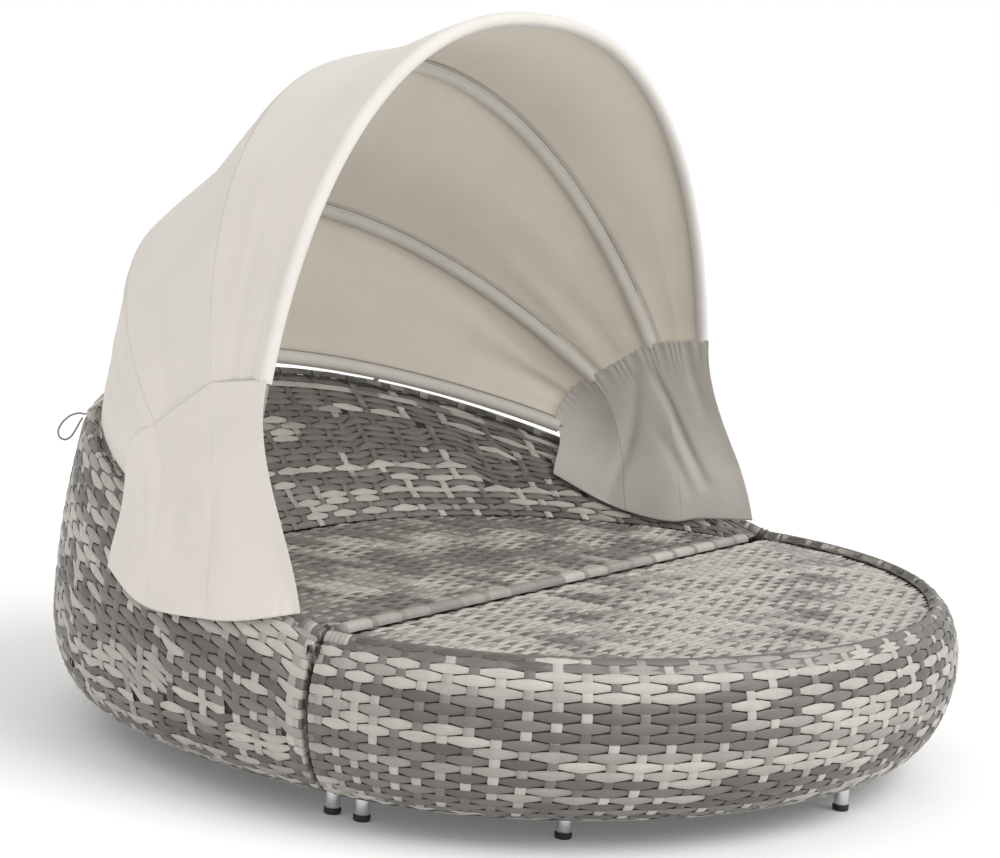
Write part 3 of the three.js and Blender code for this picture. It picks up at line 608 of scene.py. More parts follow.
def mesh_piece(name, points, quads, material, tones=None, places=None, smooth=True):
    """A mesh object from plain arrays."""
    points, quads = np.asarray(points, np.float32), np.asarray(quads, np.int32)
    mesh = bpy.data.meshes.new(name)
    corners = quads.shape[1]
    mesh.vertices.add(len(points))
    mesh.vertices.foreach_set("co", points.ravel())
    mesh.loops.add(quads.size)
    mesh.loops.foreach_set("vertex_index", quads.ravel())
    mesh.polygons.add(len(quads))
    mesh.polygons.foreach_set("loop_start", np.arange(0, quads.size, corners, dtype=np.int32))
    mesh.polygons.foreach_set("use_smooth", np.full(len(quads), smooth))
    if tones is not None:
        layer = mesh.attributes.new("tone", "FLOAT", "POINT")
        layer.data.foreach_set("value", np.asarray(tones, np.float32))
    if places is not None:
        uv = mesh.uv_layers.new(name="along_strap")
        uv.data.foreach_set("uv", np.asarray(places, np.float32)[quads.ravel()].ravel())
    mesh.materials.append(material)
    mesh.validate()
    mesh.update()
    piece = bpy.data.objects.new(name, mesh)
    bpy.context.scene.collection.objects.link(piece)
    return piece


print("strips are joined face by face")

# %% [markdown]
# The real strap changes shade slowly, so one strap stays light or dark over several
# crossings, and neighbours tend to agree. Slow waves over the face set light and dark
# zones, and each strap picks a shade that fits its zone and keeps it for a while. The
# picks are seeded, so the same daybed comes out every time.

# %% Shades along a strap
tone_sets = {"light": [0.95, 0.8, 0.75, 0.62, 0.9, 0.3],
             "dark": [0.03, 0.1, 0.25, 0.12, 0.3, 0.85],
             "mixed": [0.95, 0.65, 0.3, 0.1, 0.35, 0.9]}


def tone_zone(upright, level, seed):
    """Slow waves over the face: above 0.5 a light zone, below -0.5 a dark one."""
    a, b, c = np.random.default_rng(seed).uniform(0, 2 * np.pi, 3)
    return (np.sin(2 * np.pi * (level / 9.5 + upright / 31) + a)
            + 0.8 * np.sin(2 * np.pi * (level / 5.3 - upright / 19) + b)
            + 0.5 * np.sin(2 * np.pi * upright / 11 + c)) / 1.5


def tone_run(passes, chance, seed, length, lift=0.0):
    """A tone for each crossing of a strap, kept for some crossings, by zone."""
    made, kind, value = [], None, 0.5
    for upright, level, _ in passes:
        # lift shifts a whole face lighter or darker; a negative lift, as on the backrest and the rear
        # seat, is partly painted shade from the canopy above them
        zone = tone_zone(upright, level, seed) + lift
        now = "light" if zone > 0.55 else "dark" if zone < -0.5 else "mixed"
        if now != kind or chance.random() < 1 / length:
            value = chance.choice(tone_sets[now])
            kind = now
        made.append(float(value + chance.normal(0, 0.03)))
    return np.clip(made, 0, 1)


print("kinds of zone:", list(tone_sets))

# %% [markdown]
# Seen from above, a flat strap swings like a wave: up over one upright and down under the
# next. The uprights swing the other way, and a last strap is bound along the edge of the
# face to hide the cut ends. Each strap follows the face point by point, which keeps it on
# a bulging wall where a straight strip would cut through.

# %% Uprights and edge straps
over_depth = 0.0004
under_depth = 0.0046
upright_width = 0.020
border_width = 0.015


def swing(phase):
    """1 where a strap lies over, -1 where it dives under, nearly straight between."""
    near = np.abs(np.mod(phase + 1, 2) - 1)
    return 0.72 * (1 - 2 * near) + 0.28 * np.cos(np.pi * near)


def face_ring(face, along, share, depth, half, level):
    """The points across a strap that follows the face, level or upright."""
    ring = []
    for off, sink in zip(strap_offs, strap_sinks):
        move = off * half[:, 0]
        spot = (along, share + move / face.height(along)) if level else (along + move, share)
        ring.append(face.point(*spot, depth + sink)[0])
    return np.stack(ring, 1)


def lay_uprights(strips, face, uprights, rows, chance, samples, seed, lift):
    """Uprights pass under the flat straps that lie over them."""
    spacing = np.gradient(uprights)
    for k, (u, row) in enumerate(zip(uprights, rows)):
        n = len(row)
        share = np.linspace(0, 1, samples * n + 1)
        level = share * n - 0.5
        wave = -np.cos(np.pi * (level + k))
        depth = 0.0024 - 0.0015 * wave
        runs = tone_run([(k, j, n) for j in range(n)], chance, seed, 5, lift + 0.1)
        tone = runs[np.clip(np.round(level).astype(int), 0, n - 1)]
        half = np.full((len(share), 1), min(upright_width, 0.44 * spacing[k]) / 2)
        ring = face_ring(face, np.full_like(share, u), share, depth, half, level=False)
        strips.add_ring(ring, half, tone)


def lay_border(strips, face, share, chance, depth=-0.0008):
    """A strap bound along the edge of a face, light and dark by turns."""
    along = np.arange(face.along[0], face.along[-1], 0.008)
    tone, at = np.zeros(len(along)), 0
    while at < len(along):
        run = int(chance.integers(8, 13))
        tone[at:at + run] = chance.choice([0.9, 0.8, 0.35, 0.15])
        at += run
    half = np.full((len(along), 1), border_width / 2)
    ring = face_ring(face, along, np.full_like(along, share), depth, half, level=True)
    strips.add_ring(ring, half, tone)


print("depth of the weave:", round((under_depth - over_depth) * 1000, 1), "mm")

# %% [markdown]
# With the rows planned, each flat strap is laid: its height share is known at every
# upright, its depth swings between over and under, and its width follows. It is widest
# where it lies over and pinched where it dives under.

# %% Weave one face
spindle_waves = [-1, -0.66, 0, 0.8, 1]
spindle_widths = [0.55, 0.62, 0.9, 1.15, 1.18]


def weave(name, face, pitch, row_pitch, start, stop, seed, samples=6, lift=0.0,
          low=0.25, high=0.7, ends=(), borders=()):
    """Both straps of one face. Returns the piece."""
    chance = np.random.default_rng(seed)
    uprights = place_uprights(face, pitch, start, stop)
    counts = [max(4, 2 * int(round(face.height(u) / (2 * row_pitch)))) for u in uprights]
    rows, total = plan_rows(counts, chance, low, high)
    numbers = np.arange(len(uprights))
    first, last = face.along[0], face.along[-1]
    between = np.interp(np.arange(samples * (len(uprights) - 1) + 1) / samples, numbers, uprights)
    before = np.unique(np.concatenate([np.linspace(first, uprights[0], 5), [first],
                                       [e for e in ends if e < uprights[0]]]))[:-1]
    after = np.unique(np.concatenate([np.linspace(uprights[-1], last, 5), [last],
                                      [e for e in ends if e > uprights[-1]]]))[1:]
    along = np.concatenate([before, between, after])
    phase = np.interp(along, uprights, numbers)
    step = np.diff(uprights)
    phase = np.where(along < uprights[0], (along - uprights[0]) / step[0], phase)
    phase = np.where(along > uprights[-1], numbers[-1] + (along - uprights[-1]) / step[-1], phase)
    strips = Strips()
    for strap, passes in bundle(rows).items():
        passes = np.array(passes)
        k = passes[:, 0].astype(float)
        share = (passes[:, 1] + 0.5) / passes[:, 2]
        tone = tone_run(passes, chance, seed, 9, lift)
        begin = -9 if k[0] == 0 else k[0] - 0.5
        finish = len(uprights) + 9 if k[-1] == len(uprights) - 1 else k[-1] + 0.5
        mine = (phase >= begin) & (phase <= finish)
        if mine.sum() < 3:
            continue
        s, a = phase[mine], along[mine]
        over = (passes[0, 1] + passes[0, 0]) % 2
        wave = swing(s - over)
        loose = np.clip(np.maximum(-s, s - numbers[-1]) / 0.5, 0, 1)
        wave = wave * (1 - loose) + 0.75 * loose
        share_here = np.interp(s, k, share)
        pitch_here = np.interp(a, uprights, [face.height(u) for u in uprights]) / np.interp(
            s, k, passes[:, 2])
        width = pitch_here * np.interp(wave, spindle_waves, spindle_widths)
        width = width * (1 - loose) + pitch_here * 0.97 * loose
        depth = (over_depth + under_depth) / 2 - (under_depth - over_depth) / 2 * wave
        tuck = (np.clip(1 - np.abs(s - begin) / 0.4, 0, 1)
                + np.clip(1 - np.abs(s - finish) / 0.4, 0, 1))
        half = width[:, None] / 2
        ring = face_ring(face, a, share_here, depth + 0.002 * np.minimum(tuck, 1), half, level=True)
        held = np.round(s).clip(k[0], k[-1]).astype(int) - int(k[0])
        near_over = ((held + int(k[0]) + over) % 2 == 0)
        step_to = np.where(s > np.round(s), 1, -1)
        held = np.where(near_over, held, np.clip(held + step_to, 0, len(tone) - 1))
        strips.add_ring(ring, half, tone[held])
    lay_uprights(strips, face, uprights, rows, chance, samples, seed, lift)
    for border in borders:
        lay_border(strips, face, border, chance)
    piece = strips.piece(name, wicker)
    print(name, "uprights", len(uprights), "straps", total, "faces", len(piece.data.polygons))
    return piece


print("a strap's width runs from", spindle_widths[0], "to", spindle_widths[-1], "of a row")

# %% [markdown]
# The outer wall and the wrapped rim are one woven skin in the real daybed: the straps
# climb the wall, go over the rim tube and end inside. So the table for each basket starts
# at the bottom edge, bulges, rises to the rim and rolls over it. At the two ends, where
# the baskets meet, the skin turns round the corner on a small radius.

# %% The skin of a basket
corner_radius = 0.006
roll_start = 0.0215
roll_room = 0.5


def wall_profile(basket, turn, shares):
    """Points up the wall at one turn: share -1 at the bottom, 0 at the belly, 1 at the rim."""
    top = float(rim_height(basket, turn))
    bend = -np.minimum(shares, 0) * np.pi / 2
    reach = np.where(shares >= 0, belly_bulge * (1 - shares ** 2),
                     belly_bulge - bottom_tuck * (1 - np.cos(bend)))
    z = np.where(shares >= 0, belly_height + (top - belly_height) * shares,
                 belly_height - (belly_height - bottom_height) * np.sin(bend))
    return plan_point(basket, turn, reach, z)


def skin_profile(basket, turn):
    """The wall's line from the bottom edge, up and over the rim to its inner side."""
    top = float(rim_height(basket, turn))
    highest = 1 - roll_start / (top - belly_height)
    shares = np.concatenate([np.linspace(-1, 0, 24), np.linspace(0, highest, 24)[1:]])
    wall = wall_profile(basket, turn, shares)
    angle = np.linspace(0, np.pi, 16)
    roll = plan_point(basket, turn, roll_radius * np.cos(angle) - roll_radius,
                      top - roll_radius + roll_radius * np.sin(angle))
    return evenly(np.vstack([wall, roll]), 90)


def skin_turns(basket, count=260):
    """Turns that start a corner's radius away from the joint."""
    fine = np.linspace(0, 90, 4000)
    away = outline(basket, fine)[1] - half_gap
    first = float(np.interp(corner_radius, away, fine))
    return np.linspace(first, 180 - first, count)


def basket_skin(basket):
    """The whole skin of a basket as a face, with its two ends turned in at the joint."""
    table = [skin_profile(basket, turn) for turn in skin_turns(basket)]
    bare = Face(table, lambda t: t - np.array([0, split_row, 0.2]))
    towards = np.array([0.0, -basket["side"], 0.0])
    ends = []
    for row, normal in ((table[0], bare.normal[0]), (table[-1], bare.normal[-1])):
        centre = row - corner_radius * normal
        arc = [centre + corner_radius * (normal * math.cos(a) + towards * math.sin(a))
               for a in np.radians([22, 45, 67, 90])]
        inward = np.where(np.linspace(0, 1, len(row)) > 0.8, 0.25, 1.0)[:, None] * normal
        ends.append(arc + [arc[-1] - inward * d for d in (0.006, 0.012)])
    whole = ends[0][::-1] + table + ends[1]
    turned = len(ends[0])
    order = np.arange(len(whole))[:, None, None]
    core = np.array([0, split_row + basket["side"] * 0.3, 0.2])
    face = Face(whole, lambda t: np.where(
        order < turned, bare.normal[:1] + towards * 1.2, np.where(
            order >= len(whole) - turned, bare.normal[-1:] + towards * 1.2, t - core)))
    face.normal[turned:-turned] = bare.normal
    onto_roll = np.clip((np.linspace(0, 1, len(face.room)) - 0.74) / 0.12, 0, 1)
    face.room[:] = 1 - (1 - roll_room) * (onto_roll ** 2 * (3 - 2 * onto_roll))
    face.corners = (face.along[turned], face.along[-turned - 1])
    return face


front_skin = basket_skin(front_basket)
rear_skin = basket_skin(rear_basket)
print("round the front:", round(front_skin.along[-1], 2), "m")
print("round the rear:", round(rear_skin.along[-1], 2), "m")

# %% [markdown]
# Both skins are woven with the same code. On the real daybed the uprights stand closer
# together near the joint, where the basket turns its corner, and further apart round the
# front, so their pitch is a function of the place along the skin.

# %% Weave both baskets
wall_row_pitch = 0.0178
edge_straps = (0.022, 0.978)


def edge_pitch(face, near, wide, reach=0.28):
    """Uprights stand closer towards the joint between the baskets."""
    first, last = face.corners
    return lambda a: wide - (wide - near) * math.exp(-(min(a - first, last - a) / reach) ** 2)


for basket, skin, pitch, seed in (
        (front_basket, front_skin, edge_pitch(front_skin, 0.034, 0.053), 11),
        (rear_basket, rear_skin, edge_pitch(rear_skin, 0.040, 0.050, 0.45), 12)):
    corner_places = skin.along[:8].tolist() + skin.along[-8:].tolist()
    wall = weave(basket["name"] + "_wicker_skin", skin, pitch, wall_row_pitch, *skin.corners,
                 seed=seed, ends=corner_places, borders=edge_straps)
    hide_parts(basket["name"] + "_outer_weave", basket["name"] + "_rim_roll")
    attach(wall, basket["name"] + "_module")

# %% [markdown]
# Behind the weave the real basket lies in shade, and the slits between the straps show it. A
# plain skin a few millimetres inside, nearly black, is that shade painted in and closes the
# view to the inner frame. Over the rim the straps lie on the tube itself, so there the painted
# shade is grey.

# %% Dark skins behind the weave
lining_depth = 0.0058
flat_lining_depth = 0.0056


def lining(name, face, depth, body, across=120, down=24):
    """A closed skin of painted shade behind a woven face, grey in its top fifth."""
    places = np.linspace(face.along[0], face.along[-1], across)
    along, share = np.meshgrid(places, np.linspace(0.004, 0.996, down), indexing="ij")
    points, _ = face.point(along.ravel(), share.ravel(), depth)
    piece = mesh_piece(name, points, grid_quads(across, down), shadow_lining)
    piece.data.materials.append(rim_shadow)
    rows = np.tile(np.arange(down - 1), across - 1)
    piece.data.polygons.foreach_set("material_index", (rows > 0.8 * down).astype(np.int32))
    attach(piece, body)


# grey painted shade for the rim tube seen through the slits
rim_shadow = plain_finish("rim_shadow", (0.17, 0.162, 0.15), 0.6, 0.0)
lining("front_dark_skin", front_skin, lining_depth, "front_module")
lining("rear_dark_skin", rear_skin, lining_depth, "rear_module", across=160)
print("dark skins lie", lining_depth * 1000, "mm inside")

# %% [markdown]
# The backrest is a second woven face inside the rear basket. It leans from the line where
# the seat ends up to the inner side of the wrapped rim. Both lines follow the outline, so
# straight lines between them at every turn give the whole leaning face.

# %% The backrest
corner_width_share = 0.9055
corner_length_share = 0.689


def seat_corner(turn):
    """The line where the rear seat meets the backrest, from the middle of the joint."""
    x, y, _, _ = outline(rear_basket, turn)
    return x * corner_width_share, half_gap + (y - half_gap) * corner_length_share


def back_edges(turn):
    """The lowest and the highest point of the backrest at one turn."""
    x, y = seat_corner(turn)
    low = np.array([x, split_row + y, seat_height])
    high = plan_point(rear_basket, turn, -2 * roll_radius - 0.0003,
                      float(rim_height(rear_basket, turn)) - roll_radius)
    return low, high


back_face = Face([np.linspace(*back_edges(turn), 40) for turn in np.linspace(0.3, 179.7, 250)],
                 lambda t: np.array([0, split_row + 0.2, 1.2]) - t)
# the backrest's lift of -0.95 darkens its straps: partly their own tone, partly painted shade from the
# canopy
back_weave = weave("backrest_wicker", back_face, lambda a: 0.048, 0.0165,
                   back_face.along[0] + 0.01, back_face.along[-1] - 0.01, seed=13,
                   low=0.3, high=0.8, lift=-0.95, borders=(0.93,))
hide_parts("rear_back_weave")
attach(back_weave, "rear_module")
lining("back_dark_skin", back_face, flat_lining_depth, "rear_module", across=100, down=10)
print("backrest:", round(back_face.heights.max(), 3), "m tall at its highest")

# %% [markdown]
# The two seats are flat. Their uprights lie front to back and the flat straps run from side
# to side, closer together than on the walls. Where the outline bends in, a strap simply
# has fewer crossings, so the rows are cut to the seat's length at each upright.

# %% The outline of the seats
front_inset = 2 * roll_radius + 0.001


def seat_reach(basket, inset):
    """Length of the seat from the joint at each place across."""
    turn = np.linspace(0, 90, 2000)
    if basket is front_basket:
        edge = plan_point(basket, turn, -inset, 0.0)
        x, y = edge[:, 0], np.abs(edge[:, 1] - split_row)
    else:
        x, y = seat_corner(turn)
    order = np.argsort(x)
    return lambda across: np.interp(np.abs(across), x[order], y[order], right=0), x.max()


def widest_at(reach, widest, y_away):
    """Half the seat's width at a distance from the joint."""
    x = np.linspace(0, widest, 600)
    inside = x[np.array([float(reach(a)) for a in x]) > y_away]
    return float(inside[-1]) if len(inside) else 0.0


for basket, inset in ((front_basket, front_inset), (rear_basket, 0.0)):
    print(basket["name"], "seat is", round(2 * float(seat_reach(basket, inset)[1]), 3), "m wide")

# %% [markdown]
# A seat strap is squeezed at every second upright and stays broad at the others, which
# gives the real seat its rows of small dark slits. Its shade comes in patches, as on the
# walls, and the uprights change shade along their length as well.

# %% The seats
seat_widths = [0.34, 0.4, 0.7, 1.08, 1.12]
tight_widths = [0.9, 0.92, 1.0, 1.1, 1.12]
seat_depth, strap_swing, upright_swing = 0.0022, 0.0019, 0.0014
seat_upright_width = 0.026
end_dip = -0.4


def seat_tone(upright, level, seed, lift, chance, lengthways=False):
    """Patches of shade over the seat. An upright keeps a shade for about eight rows, and
    the digits after the point of a large sine pick it, the same way every time."""
    a, b, c = np.random.default_rng(seed).uniform(0, 2 * np.pi, 3)
    zone = (np.sin(2 * np.pi * (level / 29 + upright / 21) + a)
            + 0.7 * np.sin(2 * np.pi * (level / 15 - upright / 6.5) + b)
            + 0.6 * np.sin(2 * np.pi * (upright / 3.7 + level / 40) + c)) / 1.5 + lift
    if lengthways:
        own = np.sin(upright * 12.9898 + c) * 43758.5453 + np.floor(level / 8 + upright * 0.37) * 7.31
        pick = np.mod(np.abs(np.sin(own) * 951.135), 1)
        tone = np.where(pick < 0.4, 0.14, np.where(pick < 0.65, 0.45, 0.88))
        return np.clip(tone + 0.3 * np.clip(zone, -0.4, 0.7), 0, 1)
    tone = np.where(zone > 0.05, 0.88, np.where(zone < -0.5, 0.3, 0.6))
    return np.clip(tone + chance.normal(0, 0.07), 0, 1)


def seat_weave(name, basket, inset, seed, lift, pitch=0.047, row_pitch=0.0145, samples=6):
    """Flat straps from side to side, then the uprights from front to back."""
    chance = np.random.default_rng(seed)
    reach, widest = seat_reach(basket, inset)
    count = int(2 * (widest - 0.004) / pitch)
    across = (np.arange(count) - (count - 1) / 2) * pitch
    lengths = [float(reach(a)) for a in across]
    strips = Strips()
    first_row = half_gap + 0.001
    levels = [max(0, int((length - first_row) / row_pitch)) for length in lengths]
    for level in range(max(levels)):
        y_away = first_row + (level + 0.5) * row_pitch
        side_end = widest_at(reach, widest, y_away)
        inside = np.flatnonzero(np.abs(across) < side_end)
        if len(inside) < 2:
            continue
        s = np.arange(samples * (inside[-1] - inside[0]) + 1) / samples + inside[0]
        x = np.concatenate([[-side_end], across[0] + s * pitch, [side_end]])
        s = (x - across[0]) / pitch
        wave = swing(s - level % 2)
        wave[[0, -1]] = end_dip
        tight = 0.5 + 0.5 * np.cos(np.pi * (s - 1))
        width = row_pitch * (np.interp(wave, spindle_waves, seat_widths) * (1 - tight)
                             + np.interp(wave, spindle_waves, tight_widths) * tight)
        depth = seat_depth - strap_swing * wave
        y = np.full_like(x, split_row + basket["side"] * y_away)
        centre = np.stack([x, y, seat_height - depth], -1)
        normal = np.tile([0.0, 0.0, 1.0], (len(x), 1))
        strips.add(centre, normal, width, seat_tone(np.round(s), level, seed, lift, chance))
    for k, (a, n) in enumerate(zip(across, levels)):
        if n < 2:
            continue
        level = np.arange(4 * n + 1) / 4 - 0.5
        y_away = np.minimum(first_row + (level + 0.5) * row_pitch, lengths[k])
        wave = -np.cos(np.pi * (level + k))
        centre = np.stack([np.full_like(level, a), split_row + basket["side"] * y_away,
                           seat_height - seat_depth + upright_swing * wave], -1)
        normal = np.tile([0.0, 0.0, 1.0], (len(level), 1))
        tone = seat_tone(np.full_like(level, k), np.round(level), seed, lift, chance, True)
        strips.add(centre, normal, seat_upright_width, tone)
    piece = strips.piece(name, wicker)
    print(name, "uprights", count, "faces", len(piece.data.polygons))
    return piece


# the rear seat's negative lift darkens it, partly painted shade under the canopy; the front seat is
# lifted lighter
for basket, inset, seed, lift in ((front_basket, front_inset, 21, 0.45),
                                  (rear_basket, 0.0, 22, -0.6)):
    seat = seat_weave(basket["name"] + "_seat_wicker", basket, inset, seed, lift)
    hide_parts(basket["name"] + "_seat_weave")
    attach(seat, basket["name"] + "_module")

# %% [markdown]
# Through the slits of a real seat one sees more straps and shade, never daylight. A dark
# skin just under each seat does the same, cut a little smaller than the seat.

# %% Dark skins under the seats
def seat_lining(name, basket, inset, body, depth=0.0062):
    """A dark skin under the seat, so that the slits stay dark."""
    reach, widest = seat_reach(basket, inset)
    columns, rows = 121, 9
    x = np.linspace(-widest + 0.002, widest - 0.002, columns)
    length = np.array([float(reach(a)) for a in x])
    share = np.linspace(0, 1, rows)
    away = half_gap + 0.0015 + (length[:, None] - half_gap - 0.003).clip(0) * share
    y = split_row + basket["side"] * away
    points = np.stack([np.repeat(x[:, None], rows, 1), y, np.full_like(y, seat_height - depth)], -1)
    piece = mesh_piece(name, points.reshape(-1, 3), grid_quads(columns, rows), shadow_lining)
    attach(piece, body)


seat_lining("front_seat_dark_skin", front_basket, front_inset, "front_module")
seat_lining("rear_seat_dark_skin", rear_basket, 0.0, "rear_module")
print("dark skins under the seats: 2")

# %% [markdown]
# The rear seat's front edge is a tube wrapped in strap, a light bar with short darker
# breaks that stands a little above both seats. It is swept from arm to arm as one grid, and
# the breaks are pressed in by a millimetre, as one turn of strap passes under the next.

# %% The wrapped edge at the joint
turn_of_strap = 0.095
first_turn = 0.031
bar_points = 13


def joint_edge(name, half_length=0.798, low=-0.1342, high=-0.104, rise=0.0125, sunk=0.002):
    """A half-round bar with rounded ends, light between narrow darker breaks."""
    x = np.arange(-half_length, half_length + 0.001, 0.0025)
    turn = np.linspace(0, np.pi, bar_points)
    phase = np.mod(x + first_turn, turn_of_strap)
    gap = np.clip((np.abs(phase - turn_of_strap / 2) - 0.0355) / 0.004, 0, 1)
    crown = np.sin(np.clip(phase - 0.012, 0, 0.071) / 0.071 * np.pi)
    rounding = np.sqrt(1 - (1 - np.clip((half_length - np.abs(x)) / 0.012, 0, 1)) ** 2)
    bulge = (1 - 0.09 * gap + 0.03 * crown) * rounding
    middle, half = (low + high) / 2, (high - low) / 2
    y = middle - half * np.cos(turn)[None] * np.minimum(bulge, 1)[:, None]
    z = seat_height - sunk + (rise + sunk) * np.sin(turn)[None] ** 0.75 * bulge[:, None]
    along = np.repeat(x[:, None], bar_points, 1)
    points = np.stack([along, y, z], -1).reshape(-1, 3)
    chance = np.random.default_rng(5)
    turns = np.floor((x + first_turn) / turn_of_strap).astype(int)
    light = chance.uniform(0.5, 0.95, turns.max() - turns.min() + 1)[turns - turns.min()]
    tone = np.where(gap > 0.5, 0.5, light)
    places = np.stack([along, np.tile(turn * 0.012, (len(x), 1))], -1).reshape(-1, 2)
    piece = mesh_piece(name, points, grid_quads(len(x), bar_points), wicker,
                       tones=np.repeat(tone, bar_points), places=places)
    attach(piece, "rear_module")
    print(name, "is", round(2 * half_length, 2), "m long")


joint_edge("rear_edge_wrap")

# %% [markdown]
# The rim of each basket ends at the joint. There the maker binds it with a few turns of
# strap, side by side round the tube, and closes the end with short straps. Each turn is
# one strip laid round the rim's own centre line.

# %% Bound ends of the rims
def bound_rim_end(basket, left, seed, turns=5, pitch=0.0095):
    """Turns of strap round the rim tube, and three short straps over its cut end."""
    chance = np.random.default_rng(seed)
    away = np.linspace(0, 25, 500)
    at = 180 - away if left else away
    line = plan_point(basket, at, -roll_radius, rim_height(basket, at) - roll_radius)
    run = distance_run(line)
    angle = np.linspace(0, 2 * np.pi, 33)
    strips = Strips()
    for k in range(turns):
        place = 0.0045 + k * pitch
        centre = places_on(line, run, place)
        ahead = unit(places_on(line, run, place + 0.004) - centre)
        sideways = unit(np.cross(ahead, [0, 0, 1.0]))
        above = np.cross(sideways, ahead)
        round_it = np.cos(angle)[:, None] * sideways + np.sin(angle)[:, None] * above
        strips.add(centre + round_it * (roll_radius + 0.0012), round_it, 0.0108,
                   chance.choice([0.9, 0.75, 0.5, 0.2]))
        if k == 0:
            for off in (-0.0088, 0.0, 0.0088):
                half = math.sqrt((roll_radius + 0.0006) ** 2 - off ** 2)
                share = np.linspace(-1, 1, 9)[:, None]
                face_line = (centre - ahead * (0.0052 - 0.0022 * share ** 4) + sideways * off
                             + above * half * share)
                strips.add(face_line, np.tile(-ahead, (9, 1)), 0.0092, chance.choice([0.8, 0.45]))
    piece = strips.piece(f"{basket['name']}_rim_end_{'left' if left else 'right'}", wicker)
    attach(piece, basket["name"] + "_module")


for seed, (basket, left) in enumerate([(front_basket, False), (front_basket, True),
                                       (rear_basket, False), (rear_basket, True)]):
    bound_rim_end(basket, left, 50 + seed)
print("rim ends bound: 4")

# %% [markdown]
# Between the baskets each one is closed by an upright woven panel, seen when the front is
# pulled out. It could be cut from a rectangle with a boolean, but cut straps look torn, so
# it is a flat face that follows the wall's own profile, and its uprights get shorter
# towards the sides, as the weaver makes them.

# %% The panels at the joint
def split_face(basket):
    """The flat face of a basket at the joint."""
    top = seat_height - 0.0083
    shares = np.concatenate([np.linspace(-1, 0, 40), np.linspace(0, 1, 40)[1:]])
    profile = wall_profile(basket, 0.0, shares)
    under = profile[:40]
    reach = float(np.interp(0.2, profile[:, 2], profile[:, 0])) - 0.012
    y = split_row + basket["side"] * half_gap
    table = []
    for x in np.linspace(-reach, reach, 161):
        low = float(np.interp(abs(x) + 0.008, under[:, 0], under[:, 2], left=bottom_height))
        table.append(np.linspace((x, y, low), (x, y, top), 12))
    return Face(table, lambda t: np.array([0.0, -basket["side"], 0.0]) + 0 * t)


for basket in (front_basket, rear_basket):
    face = split_face(basket)
    panel = weave(basket["name"] + "_joint_wicker", face, lambda a: 0.05, wall_row_pitch,
                  face.along[0] + 0.02, face.along[-1] - 0.02, seed=31, samples=4)
    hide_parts(basket["name"] + "_split_weave")
    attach(panel, basket["name"] + "_module")
    lining(basket["name"] + "_joint_dark_skin", face, flat_lining_depth, basket["name"] + "_module",
           across=40, down=6)

# %% [markdown]
# The legs are short lengths of aluminium tube with black caps pressed on. Both are
# turned shapes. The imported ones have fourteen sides, which shows on a shiny tube, so each
# is spun again from its profile with many more, and the edges of the tube are eased so
# that they catch a thin line of light.

# %% Legs and feet
def spun(name, profile, centre, material, sides=40):
    """A profile of radius and height, turned about an upright axis."""
    profile = np.array(profile, float)
    angle = np.linspace(0, 2 * np.pi, sides, endpoint=False)
    ring = np.stack([profile[:, None, 0] * np.cos(angle), profile[:, None, 0] * np.sin(angle),
                     np.repeat(profile[:, 1:2], sides, 1)], -1) + np.array([centre[0], centre[1], 0])
    return mesh_piece(name, ring.reshape(-1, 3), ring_quads(len(profile), sides), material)


leg_radius = 0.014
leg_ease = 0.0005
cap_outline = [(0.0005, 0.0), (0.0125, 0.0), (0.0143, 0.0006), (0.0155, 0.0018), (0.0158, 0.0035),
               (0.0158, 0.0105), (0.0155, 0.0116), (0.0148, 0.012), (0.0143, 0.0117), (0.0143, 0.006)]
for node_name in sorted(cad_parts):
    if "_leg_" not in node_name and "_cap_" not in node_name:
        continue
    low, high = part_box(node_name)
    spot = (low + high) / 2
    if "_leg_" in node_name:
        tube = [(leg_radius - 0.002, low.z), (leg_radius - leg_ease, low.z),
                (leg_radius, low.z + leg_ease), (leg_radius, high.z - leg_ease),
                (leg_radius - 0.0006, high.z), (0.0005, high.z)]
        piece = spun(node_name + "_tube", tube, spot, aluminium)
    else:
        piece = spun(node_name + "_foot", cap_outline, spot, foot_rubber)
    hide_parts(node_name)
    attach(piece, "front_module" if node_name.startswith("front") else "rear_module")

# %% [markdown]
# The canopy's four bows share one pivot on each arm. Each is a bent tube whose ends are
# pressed flat and drilled. One formula gives a bow's line from its plane, its reach
# and how square it is, and the tube is swept along it with its round section pressed
# into a flat oval near the pivots.

# %% The four bows
pivot = np.array([0.8524337, 0.0505639, 0.4339784])
axis_point = np.array([0, pivot[1], pivot[2]])
bow_radius = 0.0095
eye_spacing = 0.007
eye_half = 0.0025
round_from, press_length = 0.157, 0.045
bow_list = [
    {"name": "bow_front", "body": "canopy_front_bow", "plane": 89.8, "reach": 1.013,
     "power": 2.31, "stack": 3},
    {"name": "bow_second", "body": "canopy_second_bow", "plane": 111.0, "reach": 0.972,
     "power": 2.15, "stack": 2},
    {"name": "bow_third", "body": "canopy_third_bow", "plane": 139.0, "reach": 0.900,
     "power": 2.11, "stack": 1},
    {"name": "bow_rear", "body": "rear_module", "plane": 162.4, "reach": 0.814,
     "power": 1.95, "stack": 0}]


def eye_place(bow):
    """How far from the middle the bow's eye sits in the stack on the pivot bolt."""
    return pivot[0] + (bow["stack"] - 1.5) * eye_spacing


def bow_point(bow, turn, lift=0.0):
    """A point on the bow's centre line, or lifted off it, at a turn of 0 to 180 degrees."""
    angle, plane, power = np.radians(turn), math.radians(bow["plane"]), 2 / bow["power"]
    half = eye_place(bow) + lift
    across = np.cos(angle)
    out = (bow["reach"] + lift) * np.maximum(np.sin(angle), 0) ** power
    return np.stack([half * np.sign(across) * np.abs(across) ** power,
                     pivot[1] - out * math.cos(plane), pivot[2] + out * math.sin(plane)], -1)


def bow_turn(bow, distance):
    """The turn at which the bow is that far from the pivot."""
    return math.degrees(math.asin((distance / bow["reach"]) ** (bow["power"] / 2)))


